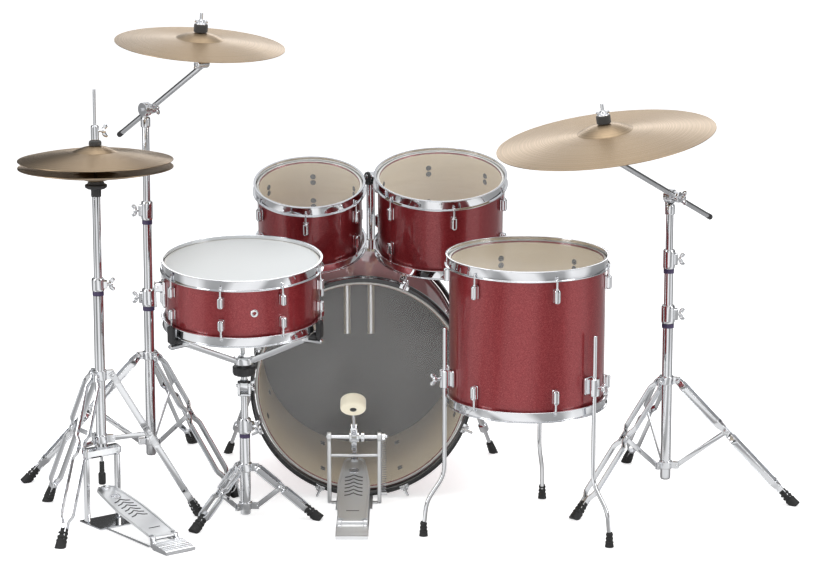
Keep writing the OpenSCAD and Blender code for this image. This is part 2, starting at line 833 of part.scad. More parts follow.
// Ends of leg i and brace i of a tripod at c: collar height zc, hub height zh, foot radius rf.
function polar3(c, r, a, z) = [c[0] + r * cos(a), c[1] + r * sin(a), z];
pivot_out = 28;
rivet_r = 2.5;
foot_pivot_z = 13;
function leg_top(c, zc, a) = polar3(c, pivot_out, a, zc);
function leg_end(c, rf, a) = polar3(c, rf - 12, a, foot_pivot_z);
function leg_joint(c, zc, rf, a) = leg_top(c, zc, a) * (1 - joint_at) + leg_end(c, rf, a) * joint_at;
function brace_root(c, zh, a) = polar3(c, pivot_out, a, zh);

// Twin-strip leg; the rivet through its joint can be left as two heads only.
module tripod_leg(c, zc, rf, a, through) {
    top = leg_top(c, zc, a);
    end = leg_end(c, rf, a);
    j = leg_joint(c, zc, rf, a);
    side = [-sin(a), cos(a), 0];
    d = (end - top) / norm(end - top);
    off = (leg_gap + leg_t) / 2;
    for (s = [-1, 1]) flat_bar(top - d * 6, end, leg_w, leg_t, s * off);
    for (s = [-1, 1]) rod(j + side * s * (off + leg_t / 2 - 0.5), j + side * s * (off + 3.5), 5);
    if (through) rod(j - side * (off + 3), j + side * (off + 3), rivet_r);
    rod(top - side * (off + 3), top + side * (off + 3), rivet_r);
    flat_bar(end - d * 56, end - d * 8, leg_w - 2, leg_gap + 1);
}

module tripod_brace(c, zc, zh, rf, a) {
    b = brace_root(c, zh, a);
    j = leg_joint(c, zc, rf, a);
    d = (j - b) / norm(j - b);
    side = [-sin(a), cos(a), 0];
    difference() {
        flat_bar(b - d * 5, j + d * 6, 12, brace_t);
        rod(j - side * 8, j + side * 8, rivet_r + run_fit);
    }
    rod(b - side * 5.5, b + side * 5.5, rivet_r);
}

// Rubber foot over the end of leg a, cut flat at the floor.
module tripod_foot(c, zc, rf, a) {
    top = leg_top(c, zc, a);
    end = leg_end(c, rf, a);
    d = (end - top) / norm(end - top);
    difference() {
        rod(end + d * run_fit, end + d * (foot_len - 22), foot_r);
        translate([end[0] - 60, end[1] - 60, -100]) cube([120, 120, 100]);
    }
}

hihat_c = [hihat_cx, hihat_y];
snare_c = [snare_cx, snare_y];
crash_c2 = [crash_cx, crash_y];
ride_c2 = [ride_cx, ride_y];

module each_fixed_tripod(part) {
    for (k = [0:2]) {
        tripod_part(part, hihat_c, hihat_leg_z, hihat_hub_z, hihat_foot_r, hihat_foot_a + 120 * k);
        tripod_part(part, snare_c, snare_leg_z, snare_hub_z, snare_foot_r, snare_foot_a + 120 * k);
        tripod_part(part, crash_c2, leg_collar_z, low_collar_z, boom_foot_r,
            crash_foot_a + 120 * k);
    }
}

module tripod_part(part, c, zc, zh, rf, a) {
    if (part == "leg") tripod_leg(c, zc, rf, a, true);
    if (part == "brace") tripod_brace(c, zc, zh, rf, a);
    if (part == "foot") tripod_foot(c, zc, rf, a);
}

module tripod_legs() { color("silver") each_fixed_tripod("leg"); }
module tripod_braces() { color("silver") each_fixed_tripod("brace"); }

module rubber_feet() {
    color("black") {
        each_fixed_tripod("foot");
        floor_place() for (i = [0:2]) {
            rotate([-floor_tilt, 0, 0])
                floor_foot(floor_leg_point(floor_leg_at + floor_foot_out, i, 0));
        }
    }
}

// Rubber tip of a floor tom leg, upright on the floor.
module floor_foot(g) {
    w = [g[0], g[1] * cos(floor_tilt) - g[2] * sin(floor_tilt),
         g[1] * sin(floor_tilt) + g[2] * cos(floor_tilt)];
    translate(w) cylinder(h = floor_foot_h, r = foot_r);
}

// Collar for three legs: a ring with three ears, each between the strips of its leg.
module leg_ring(zc, r_tube, h, a0) {
    translate([0, 0, zc - h / 2]) difference() {
        union() {
            cylinder(h = h, r = r_tube + 4);
            around(3, a0) translate([r_tube + 2, -(leg_gap - 3) / 2, 0.5])
                cube([pivot_out + 3 - r_tube, leg_gap - 3, h - 1]);
        }
        translate([0, 0, -1]) cylinder(h = h + 2, r = r_tube + run_fit);
        around(3, a0) translate([pivot_out, 0, h / 2]) rotate([90, 0, 0])
            translate([0, 0, -leg_gap]) cylinder(h = 2 * leg_gap, r = rivet_r + run_fit);
    }
}

// Hub for three braces: a ring with three pairs of ears.
module brace_ring(zc, r_tube, h, a0) {
    translate([0, 0, zc - h / 2]) difference() {
        union() {
            cylinder(h = h, r = r_tube + 4);
            around(3, a0) for (s = [-1, 1]) translate([r_tube + 2, s * (brace_t / 2 + 1.5) - 1, 0.5])
                cube([pivot_out + 3 - r_tube, 2, h - 1]);
        }
        translate([0, 0, -1]) cylinder(h = h + 2, r = r_tube - wall / 2);
        around(3, a0) translate([pivot_out, 0, h / 2]) rotate([90, 0, 0])
            translate([0, 0, -leg_gap]) cylinder(h = 2 * leg_gap, r = rivet_r + run_fit);
    }
}

// ---------- boom stands ----------

// Fixed lower part: base tube, middle tube and the two clamp collars.
module boom_base(z_low, z2, z1, ring_z, foot_a, wing_a) {
    difference() {
        union() {
            translate([0, 0, z_low - 34]) cylinder(h = z2 - z_low + 34, r = tube_r);
            translate([0, 0, z2]) clamp_collar(tube_r + 4, 44, wing_a);
            translate([0, 0, z2]) cylinder(h = z1 - z2, r = mid_r);
            translate([0, 0, z1]) clamp_collar(mid_r + 3.5, 46, wing_a);
            if (ring_z > 0) leg_ring(ring_z, tube_r - wall / 2, 20, foot_a);
            brace_ring(z_low, tube_r, 18, foot_a);
        }
        translate([0, 0, z_low - 10]) cylinder(h = z2 - z_low, r = mid_r - wall);
        translate([0, 0, z_low + 20]) cylinder(h = z1, r = post_r + run_fit);
    }
}

// Direction of a boom, from the ratchet to the cymbal.
function axis_of(lean) =
    [cos(lean[0]) * sin(lean[1]), -sin(lean[0]), cos(lean[0]) * cos(lean[1])];
function boom_end(c, lean) = c - axis_of(lean) * boom_end_drop;
// Horizontal unit vector across the boom: the ratchet's axis.
function across(p, e) = let (h = [e[0] - p[0], e[1] - p[1]]) [-h[1], h[0], 0] / norm(h);

// Sliding upper tube with one half of the ratchet and its bolt.
module boom_post(x, y, z, low, e) {
    p = [x, y, z];
    h = across(p, e);
    translate([x, y, low]) cylinder(h = z - ratchet_r - 2 - low, r = post_r);
    translate([x, y, z - 44]) cylinder(h = 42 - ratchet_r, r = post_r + 3);
    translate([x, y, z - 30]) rotate([0, 0, atan2(h[1], h[0])])
        translate([-ratchet_t, -8, 0]) cube([ratchet_t - side_gap, 16, 26]);
    rod(p - h * ratchet_t, p - h * side_gap, ratchet_r);
    rod(p - h * (ratchet_t + 5), p + h * (2 * ratchet_t + boom_r * 2 + 8), ratchet_pin_r);
    rod(p + h * (2 * ratchet_t + boom_r * 2 + 4), p + h * (2 * ratchet_t + boom_r * 2 + 10), 9);
}

// Boom with its half of the ratchet, the cymbal tilter, stud, sleeve, felts and wing nut.
module boom_arm(x, y, z, e, lean, tail, rise) {
    p = [x, y, z];
    h = across(p, e);
    o = h * boom_off;
    ax = axis_of(lean);
    d = (e - p) / norm(e - p);
    c = e + ax * boom_end_drop;
    difference() {
        union() {
            rod(p, p + h * ratchet_t, ratchet_r);
            rod(p + h * 2, p + h * (ratchet_t + 2 * boom_r + 6), 13);
            rod(p + o + (d - [0, 0, 0]) * (-tail), e + o, boom_r);
        }
        rod(p - h * 20, p + h * 60, ratchet_pin_r + run_fit);
    }
    rod(e - h * 8, e + o + h * (boom_r + 2.5), 10);
    under = rise - cymbal_t - cymbal_gap;
    rod(e, c + ax * (under - felt_t - 2), 7);
    rod(c + ax * (under - felt_t - 8), c + ax * (rise + 22), sleeve_r);
    rod(c + ax * (under - felt_t), c + ax * under, felt_r);
    rod(c + ax * (rise + cymbal_gap), c + ax * (rise + 19), felt_r * 0.7);
    rod(c + ax * (rise + 10), c + ax * (rise + 48), stud_r);
    rod(c + ax * (rise + 20), c + ax * (rise + 32), 9);
}

// Bow and bell of a cymbal: height of the top surface at radius r, above the edge plane.
function cymbal_top(r, rc, rise, bell_r, bell_h) =
    r > bell_r
        ? (rise - bell_h) * (1 - pow((r - bell_r) / (rc - bell_r), 1.6)) + cymbal_t
        : rise - bell_h + cymbal_t + (bell_h - cymbal_t) * sqrt(max(0, 1 - pow(r / bell_r, 2.4)));

module cymbal(d, rise, bell_r, bell_h) {
    rc = d / 2;
    n = 14;
    steps = concat(
        [for (i = [0:n]) rc + (bell_r - rc) * i / n],
        [for (i = [1:n]) cymbal_hole_r + (bell_r - cymbal_hole_r) * sqrt(1 - pow(i / n, 2))]);
    rotate_extrude($fn = 96) polygon(concat(
        [for (r = steps) [r, cymbal_top(r, rc, rise, bell_r, bell_h)]],
        [for (i = [len(steps) - 1:-1:0])
            [steps[i], cymbal_top(steps[i], rc, rise, bell_r, bell_h) - cymbal_t]]));
}

crash_e = boom_end(crash_c, crash_lean);
ride_e = boom_end(ride_c, ride_lean);

module crash_base() {
    color("silver") translate([crash_cx, crash_y, 0])
        boom_base(low_collar_z, collar2_z, collar1_z, leg_collar_z, crash_foot_a, 180);
}
module crash_post() {
    color("silver") boom_post(crash_cx, crash_y, crash_ratchet_z, collar1_z - 150, crash_e);
}
module crash_boom() {
    color("silver")
        boom_arm(crash_cx, crash_y, crash_ratchet_z, crash_e, crash_lean, 142, crash_rise);
}
module crash_cymbal() {
    color("goldenrod") translate(crash_c) rotate([crash_lean[0], crash_lean[1], 0])
        cymbal(crash_d, crash_rise, 58, 16);
}

module ride_base() {
    color("silver") translate([ride_cx, ride_y, 0])
        boom_base(ride_low_collar_z, ride_collar2_z, ride_collar1_z, 0, ride_foot_a, 0);
}
module ride_post() {
    color("silver") boom_post(ride_cx, ride_y, ride_ratchet_z, ride_collar1_z - 110, ride_e);
}
module ride_boom() {
    color("silver")
        boom_arm(ride_cx, ride_y, ride_ratchet_z, ride_e, ride_lean, 160, ride_rise);
}
module ride_cymbal() {
    color("goldenrod") translate(ride_c) rotate([ride_lean[0], ride_lean[1], 0])
        cymbal(ride_d, ride_rise, 66, 20);
}

module ride_leg_collar() {
    color("silver") translate([ride_cx, ride_y, 0])
        leg_ring(ride_leg_collar_z, tube_r, 20, ride_foot_a);
}

module ride_leg(i) {
    a = ride_foot_a + 120 * i;
    tripod_leg(ride_c2, ride_leg_collar_z, boom_foot_r, a, false);
    tripod_foot(ride_c2, ride_leg_collar_z, boom_foot_r, a);
}

module ride_leg_1() { color("silver") ride_leg(0); }
module ride_leg_2() { color("silver") ride_leg(1); }
module ride_leg_3() { color("silver") ride_leg(2); }

module ride_brace(i) {
    tripod_brace(ride_c2, ride_leg_collar_z, ride_low_collar_z, boom_foot_r,
        ride_foot_a + 120 * i);
}

module ride_brace_1() { color("silver") ride_brace(0); }
module ride_brace_2() { color("silver") ride_brace(1); }
module ride_brace_3() { color("silver") ride_brace(2); }

// ---------- hi-hat ----------

module hihat_place() { translate([hihat_cx, hihat_y, 0]) rotate([0, 0, hihat_yaw]) children(); }

hihat_heel_len = 70;

module hihat_base() {
    half = yoke_w / 2;
    color("silver") {
        hihat_place() {
            difference() {
                union() {
                    translate([-half - 6, -13, yoke_z]) cube([yoke_w + 12, 26, yoke_h]);
                    translate([0, 0, yoke_z + yoke_h])
                        cylinder(h = hihat_collar_z - yoke_z - yoke_h, r = hihat_tube_r);
                    translate([0, 0, hihat_collar_z]) clamp_collar(hihat_tube_r + 3, 30, -30);
                    rotate([0, 0, -hihat_yaw]) {
                        leg_ring(hihat_leg_z, hihat_tube_r - wall / 2, 24, hihat_foot_a);
                        brace_ring(hihat_hub_z, hihat_tube_r, 20, hihat_foot_a);
                    }
                }
                translate([0, 0, yoke_z - 1])
                    cylinder(h = hihat_collar_z - yoke_z + 1, r = hihat_tube_r - wall);
                translate([0, 0, yoke_z]) cylinder(h = hihat_collar_z, r = hihat_post_r + run_fit);
            }
            for (s = [-1, 1]) translate([s * half - 5, -8, 4]) cube([10, 16, yoke_z - 4]);
            translate([-half - 8, -70, 0]) cube([yoke_w + 16, 96, 4]);
            for (s = [-1, 1]) translate([s * 36 - 2.5, hihat_heel_y + 6, 1])
                cube([5, -70 - hihat_heel_y - 6, 5]);
            difference() {
                translate([-hihat_pedal_w / 2, hihat_heel_y - hihat_heel_len, 0])
                    cube([hihat_pedal_w, hihat_heel_len - 12, hihat_hinge_z - 4]);
                translate([-hihat_pedal_w, hihat_heel_y - hihat_heel_len, 8]) rotate([8, 0, 0])
                    cube([2 * hihat_pedal_w, hihat_heel_len, 40]);
            }
            for (s = [-1, 1]) difference() {
                translate([s * 30 - 5, hihat_heel_y - 14, 0]) cube([10, 19, hihat_hinge_z + 6]);
                translate([s * 30 - 10, hihat_heel_y, hihat_hinge_z]) rotate([0, 90, 0])
                    cylinder(h = 20, r = 3 + run_fit);
            }
        }
    }
}

// Footboard hinged at the heel; its toe pulls the rod down.
module footboard(y0, z0, y1, z1, w0, w1, ears) {
    d = [0, y1 - y0, z1 - z0];
    len = norm(d);
    translate([0, y0, z0]) rotate([atan2(d[2], d[1]), 0, 0]) {
        difference() {
            linear_extrude(height = 5) polygon([
                [-w0 / 2, 9], [-w1 / 2, len * 0.62], [-w0 * 0.2, len], [w0 * 0.2, len],
                [w1 / 2, len * 0.62], [w0 / 2, 9]]);
            for (k = [0:4]) translate([0, len * (0.34 + 0.085 * k), -1])
                linear_extrude(height = 8) polygon([
                    [-w0 * 0.28, -w0 * 0.16], [0, w0 * 0.04], [w0 * 0.28, -w0 * 0.16],
                    [w0 * 0.28, -w0 * 0.07], [0, w0 * 0.13], [-w0 * 0.28, -w0 * 0.07]]);
        }
        translate([-ears, 0, 0]) rotate([0, 90, 0]) cylinder(h = 2 * ears, r = 5);
        translate([-ears, 0, -2]) cube([2 * ears, 11, 6]);
        translate([-ears - 11, 0, 0]) rotate([0, 90, 0]) cylinder(h = 2 * ears + 22, r = 3);
    }
}

module hihat_footboard() {
    color("lightgray") hihat_place()
        footboard(hihat_heel_y, hihat_hinge_z, -8, hihat_toe_z, 70, 76, 24.4);
}

module hihat_post() {
    color("silver") translate([hihat_cx, hihat_y, 0]) difference() {
        union() {
            translate([0, 0, hihat_collar_z - 110])
                cylinder(h = hihat_seat_z - 17 - hihat_collar_z + 110, r = hihat_post_r);
            translate([0, 0, hihat_seat_z - 35]) cylinder(h = 20, r = 12);
            translate([0, 0, hihat_seat_z - 17]) cylinder(h = 11, r = 26);
            translate([0, 0, hihat_seat_z - 6]) cylinder(h = 6, r = 20);
        }
        translate([0, 0, hihat_collar_z - 120]) cylinder(h = 500, r = 6);
    }
}

module hihat_bottom_cymbal() {
    color("goldenrod")
        translate([hihat_cx, hihat_y, hihat_z - hihat_gap]) mirror([0, 0, 1])
            cymbal(hihat_d, hihat_rise, 52, 15);
}

module hihat_pull_rod() {
    color("silver") translate([hihat_cx, hihat_y, 0]) {
        translate([0, 0, 110]) cylinder(h = hihat_z + 164 - 110, r = hihat_rod_r);
        translate([0, 0, 88]) cylinder(h = 30, r = 9);
        translate([0, 0, 118]) cylinder(h = 26, r = 6);
    }
}

module hihat_clutch() {
    zc = hihat_z + hihat_rise;
    color("silver") translate([hihat_cx, hihat_y, 0]) difference() {
        union() {
            translate([0, 0, zc - felt_t - cymbal_t - 8])
                cylinder(h = felt_t + cymbal_t + 20, r = 6);
            translate([0, 0, zc - felt_t - cymbal_t - 0.4]) cylinder(h = felt_t, r = 12);
            translate([0, 0, zc + 0.4]) cylinder(h = 12, r = 15);
            translate([0, 0, zc + 12]) cylinder(h = 35, r = 9.5);
            translate([0, 0, zc + 34]) rotate([0, 0, 10]) wing(8, 24, 34);
        }
        translate([0, 0, zc - 60]) cylinder(h = 140, r = hihat_rod_r + run_fit);
    }
}

module hihat_top_cymbal() {
    color("goldenrod") translate([hihat_cx, hihat_y, hihat_z])
        cymbal(hihat_d, hihat_rise, 52, 15);
}

// ---------- kick pedal ----------

module kick_place() { translate([kick_x, 0, 0]) children(); }

module kick_frame() {
    heel = -kick_len;
    color("silver") kick_place() {
        translate([-44, -110, 0]) cube([88, 124, kick_plate_t]);
        translate([-15, -12, kick_plate_t - 1]) cube([30, 9.5, 17 - kick_plate_t + bass_clear]);
        translate([-15, -12, 14.6 + bass_clear]) cube([30, 21, 4]);
        for (s = [-1, 1]) {
            difference() {
                union() {
                    translate([s * kick_half - 5, kick_axle_y - 9, 0])
                        cube([10, 18, kick_axle_z]);
                    translate([s * kick_half - 5, kick_axle_y, kick_axle_z])
                        rotate([0, 90, 0]) cylinder(h = 10, r = 12);
                }
                translate([s * kick_half - 10, kick_axle_y, kick_axle_z]) rotate([0, 90, 0])
                    cylinder(h = 20, r = kick_axle_r + run_fit);
            }
            translate([s * 49.5 - 6.5, kick_axle_y - 9, 0]) cube([13, 18, kick_plate_t]);
            translate([s * 36 - 2, kick_hinge_y - 4, 1]) cube([4, -110 - kick_hinge_y + 4, 4]);
            difference() {
                translate([s * 30 - 5, kick_hinge_y - 14, 0]) cube([10, 19, kick_hinge_z + 6]);
                translate([s * 30 - 10, kick_hinge_y, kick_hinge_z]) rotate([0, 90, 0])
                    cylinder(h = 20, r = 3 + run_fit);
            }
        }
        translate([-kick_half, kick_axle_y, 118]) rotate([0, 90, 0])
            cylinder(h = 2 * kick_half, r = 4);
        translate([kick_half + 5, kick_axle_y - 24, 26]) cube([14, 12, 6]);
        difference() {
            translate([-38, heel, 0]) cube([76, 66 - 12, kick_hinge_z - 4]);
            translate([-60, heel, 8]) rotate([8, 0, 0]) cube([120, 80, 40]);
        }
    }
}

// Axle with sprocket, hub, beater rod and beater head, and the return lever outside the post.
module kick_beater() {
    reach = kick_half + 5 + side_gap;
    color("silver") kick_place() translate([0, kick_axle_y, kick_axle_z]) {
        translate([-kick_half - 7, 0, 0]) rotate([0, 90, 0])
            cylinder(h = 2 * kick_half + 26, r = kick_axle_r);
        translate([-6, 0, 0]) rotate([0, 90, 0]) cylinder(h = 12, r = sprocket_r - 3);
        translate([-12, 0, 0]) rotate([0, 90, 0]) cylinder(h = 24, r = 13);
        translate([reach, 0, 0]) rotate([0, 90, 0]) cylinder(h = 9, r = 10);
        translate([reach, -24, -4]) cube([9, 24, 8]);
        rotate([beater_lean, 0, 0]) {
            translate([16, 0, 0]) rotate([0, 90, 0]) cylinder(h = 8, r = 12);
            rod([0, 0, 10], [0, 0, beater_reach], 4.5);
            translate([-9, -9, 24]) cube([18, 18, 26]);
            translate([0, 0, beater_reach]) rotate([90, 0, 0]) translate([0, 0, -beater_t / 2])
                cylinder(h = beater_t, r = beater_r);
        }
    }
}

module kick_footboard() {
    color("lightgray") kick_place()
        footboard(kick_hinge_y, kick_hinge_z, kick_toe_y, kick_toe_z, 70, 78, 24.4);
}

// ---------- nodes ----------

bass_shell();
bass_hoops();
bass_batter_head();
bass_front_head();
bass_lugs();
bass_claws();
tom_mount();
spur_left();
spur_right();
tom1_arm();
tom1_shell();
tom1_hoops();
tom1_heads();
tom1_fittings();
tom2_arm();
tom2_shell();
tom2_hoops();
tom2_heads();
tom2_fittings();
floor_tom_shell();
floor_tom_hoops();
floor_tom_heads();
floor_tom_fittings();
floor_tom_legs();
snare_shell();
snare_hoops();
snare_heads();
snare_fittings();
snare_throw_off();
snare_basket();
snare_post();
snare_base();
hihat_base();
hihat_post();
hihat_bottom_cymbal();
hihat_pull_rod();
hihat_clutch();
hihat_top_cymbal();
hihat_footboard();
crash_base();
crash_post();
crash_boom();
crash_cymbal();
ride_base();
ride_post();
ride_boom();
ride_cymbal();
ride_leg_collar();
ride_leg_1();
ride_leg_2();
ride_leg_3();
ride_brace_1();
ride_brace_2();
ride_brace_3();
tripod_legs();
tripod_braces();
rubber_feet();
kick_frame();
kick_beater();
kick_footboard();
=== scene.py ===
import json
import math

import bmesh
import bpy
import numpy as np
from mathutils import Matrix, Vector


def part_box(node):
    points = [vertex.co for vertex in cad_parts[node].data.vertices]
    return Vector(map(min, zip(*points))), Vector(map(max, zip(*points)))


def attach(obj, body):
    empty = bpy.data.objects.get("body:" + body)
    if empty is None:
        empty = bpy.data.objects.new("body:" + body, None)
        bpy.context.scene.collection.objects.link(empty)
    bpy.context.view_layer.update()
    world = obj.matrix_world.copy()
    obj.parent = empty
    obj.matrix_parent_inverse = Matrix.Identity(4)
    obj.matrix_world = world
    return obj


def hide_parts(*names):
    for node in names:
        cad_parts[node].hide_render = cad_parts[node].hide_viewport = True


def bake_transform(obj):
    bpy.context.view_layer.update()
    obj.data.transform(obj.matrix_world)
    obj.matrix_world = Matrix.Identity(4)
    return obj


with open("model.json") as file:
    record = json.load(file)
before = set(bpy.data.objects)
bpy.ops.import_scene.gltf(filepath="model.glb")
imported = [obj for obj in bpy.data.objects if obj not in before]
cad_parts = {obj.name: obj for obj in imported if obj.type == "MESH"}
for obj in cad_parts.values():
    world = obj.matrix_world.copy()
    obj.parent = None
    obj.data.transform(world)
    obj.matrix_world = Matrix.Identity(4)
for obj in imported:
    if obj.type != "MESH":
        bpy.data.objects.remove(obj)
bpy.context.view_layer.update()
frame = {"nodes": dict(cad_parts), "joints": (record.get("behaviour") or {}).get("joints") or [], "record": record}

record = frame["record"]
nodes = frame["nodes"]
joints = {j["name"]: j for j in frame["joints"]}
body_of = {n: b for b, ns in record["behaviour"]["bodies"].items() for n in ns}


# ---------------------------------------------------------------- shapes

def unit(v):
    """The direction of v: v over its length."""
    v = np.asarray(v, float)
    return v / np.linalg.norm(v)


def circle(r, n=24):
    """Closed loop of n steps: (r cos a, r sin a)."""
    a = np.linspace(0, 2 * math.pi, n + 1)
    return np.stack([r * np.cos(a), r * np.sin(a)], 1)


def round_corners(points, c, closed=True, steps=4):
    """Every corner B between A and C becomes the curve (1-t)^2 P + 2t(1-t) B + t^2 Q,
    with P and Q on its two sides at distance c, or under half a side."""
    p = np.asarray(points, float)
    back, ahead = np.roll(p, 1, 0) - p, np.roll(p, -1, 0) - p
    lb, la = np.linalg.norm(back, axis=1), np.linalg.norm(ahead, axis=1)
    s = np.minimum(c, 0.45 * np.minimum(lb, la))
    P = p + back * (s / np.maximum(lb, 1e-12))[:, None]
    Q = p + ahead * (s / np.maximum(la, 1e-12))[:, None]
    t = np.linspace(0, 1, steps)[None, :, None]
    q = (1 - t) ** 2 * P[:, None] + 2 * t * (1 - t) * p[:, None] + t * t * Q[:, None]
    if closed:
        q = q.reshape(-1, 2)
        return np.concatenate([q, q[:1]])
    inner = q[1:-1].reshape(-1, 2)
    return np.concatenate([p[:1], inner, p[-1:]])


def rect(w, h, c):
    """Closed rounded rectangle, w by h with corners of about c."""
    a, b = w / 2, h / 2
    return round_corners([[-a, -b], [a, -b], [a, b], [-a, b]], c)


def basis(axis, up=(0, 0, 1)):
    """Two unit vectors square to the axis: side = axis x up, rise = side x axis."""
    t = unit(axis)
    u = np.asarray(up, float)
    if abs(np.dot(t, u)) > 0.97:
        u = np.array([0.0, 1.0, 0.0]) if abs(t[1]) < 0.9 else np.array([1.0, 0.0, 0.0])
    side = unit(np.cross(t, u))
    return side, np.cross(side, t)


def turned(p, axis, profile, n=40):
    """Lathe work: for each (z, r) of the profile, p + z axis + r (cos a side + sin a rise)."""
    q = np.asarray(profile, float)
    t = unit(axis)
    side, rise = basis(t)
    a = np.linspace(0, 2 * math.pi, n + 1)
    ring = np.cos(a)[:, None] * rise + np.sin(a)[:, None] * side
    return np.asarray(p, float) + q[:, 0, None, None] * t + q[:, 1, None, None] * ring[None]


def turned_round(p, axis, profile, c=0.0008, n=40):
    """Lathe work with its corners eased by c."""
    return turned(p, axis, round_corners(profile, c, closed=False), n)


def solid_turned(p, axis, profile, c=0.0008, n=40):
    """Lathe work without a bore: the profile, closed to its axis at both ends."""
    first, last = profile[0][0], profile[-1][0]
    return turned_round(p, axis, [[first, 0], *profile, [last, 0]], c, n)


def bored_turned(p, axis, bore, profile, c=0.0008, n=40):
    """Lathe work round a bore: the profile, closed by the wall of the bore."""
    first, last = profile[0][0], profile[-1][0]
    return turned_round(p, axis, [[first, bore], *profile, [last, bore], [first, bore]], c, n)


def sweep(path, section, up=(0, 0, 1), bevel=0.0006, taper=None):
    """A closed section carried along a path: P[i, j] = path_i + k_i (s_j side_i + t_j rise_i).
    k falls to nothing at both ends, over a small bevel, so that the ends are closed."""
    path, section = np.asarray(path, float), np.asarray(section, float)
    t = np.gradient(path, axis=0)
    t /= np.linalg.norm(t, axis=1)[:, None]
    u = np.asarray(up, float)
    if abs(np.dot(t[0], u)) > 0.97:
        u = np.array([0.0, 1.0, 0.0])
    side = np.cross(t, u)
    side /= np.linalg.norm(side, axis=1)[:, None]
    rise = np.cross(side, t)
    k = np.ones(len(path)) if taper is None else np.asarray(taper, float)
    size = np.abs(section).max()
    e = max(0.0, 1 - bevel / size)
    rows = np.concatenate([[0, 0, 0], np.arange(1, len(path) - 1), [-1, -1, -1]]).astype(int)
    move = np.zeros(len(rows))
    move[2], move[-3] = bevel, -bevel
    scale = k[rows] * np.concatenate([[0, e], np.ones(len(rows) - 4), [e, 0]])
    centre = path[rows] + t[rows] * move[:, None]
    return centre[:, None] + scale[:, None, None] * (section[None, :, 0, None] * side[rows][:, None]
        + section[None, :, 1, None] * rise[rows][:, None])


def rod(p, q, r, n=24, bevel=0.0006):
    """A round bar from p to q."""
    return sweep([p, q], circle(r, n), bevel=bevel)


def strip(p, q, depth, thick, side, off=0.0, c=0.0008):
    """A flat bar from p to q, thick along side and depth square to it, moved off along side."""
    p, q, side = np.asarray(p, float), np.asarray(q, float), unit(side)
    return sweep([p + side * off, q + side * off], rect(thick, depth, c),
        up=np.cross(side, unit(q - p)))


def blob(centre, radii, axes=None, n=16, power=1.0):
    """Rounded lump: centre + sum of radii_k f_k(u, v) axis_k on a sphere's angles."""
    u = np.linspace(0, math.pi, n)[:, None]
    v = np.linspace(0, 2 * math.pi, 2 * n + 1)[None]
    f = lambda x: np.sign(x) * np.abs(x) ** power
    x, y, z = f(np.sin(u)) * f(np.cos(v)), f(np.sin(u)) * f(np.sin(v)), f(np.cos(u)) + 0 * v
    axes = np.eye(3) if axes is None else np.asarray(axes, float)
    return (np.asarray(centre, float) + x[..., None] * radii[0] * axes[0]
        + y[..., None] * radii[1] * axes[1] + z[..., None] * radii[2] * axes[2])


def block(centre, size, c=0.001, axes=None):
    """Rounded box: a rounded rectangle carried along its third axis."""
    axes = np.eye(3) if axes is None else np.asarray(axes, float)
    w, d, h = size
    s = rect(w, d, c)
    b = min(c, 0.45 * h)
    e = np.array([1 - 2 * b / w, 1 - 2 * b / d])
    z = np.array([-h / 2, -h / 2, -h / 2 + b, h / 2 - b, h / 2, h / 2])
    k = np.stack([[0, 0], e, [1, 1], [1, 1], e, [0, 0]]).astype(float)
    P = (s[None, :, 0, None] * k[:, None, 0, None] * axes[0]
        + s[None, :, 1, None] * k[:, None, 1, None] * axes[1] + z[:, None, None] * axes[2])
    return np.asarray(centre, float) + P


def placed(P, T):
    """The points of P moved by the 4x4 placement T."""
    return P @ T[:3, :3].T + T[:3, 3]


def spun(P, degrees):
    """P turned about the z axis."""
    a = math.radians(degrees)
    R = np.array([[math.cos(a), -math.sin(a), 0], [math.sin(a), math.cos(a), 0], [0, 0, 1]])
    return P @ R.T


def flipped(P):
    """The same shape at the drum's other end, with its order reversed so it still faces out."""
    return (P * np.array([1, 1, -1]))[::-1]


def helix(p, q, r, turns, wire, n=14):
    """Coil about the line p to q: p + s (q - p) + r (cos w side + sin w rise), w = 2 pi turns s."""
    p, q = np.asarray(p, float), np.asarray(q, float)
    side, rise = basis(q - p)
    s = np.linspace(0, 1, int(turns * n) + 1)
    w = 2 * math.pi * turns * s
    path = p + s[:, None] * (q - p) + r * (np.cos(w)[:, None] * side + np.sin(w)[:, None] * rise)
    return sweep(path, circle(wire, 8), up=unit(q - p), bevel=wire * 0.5)


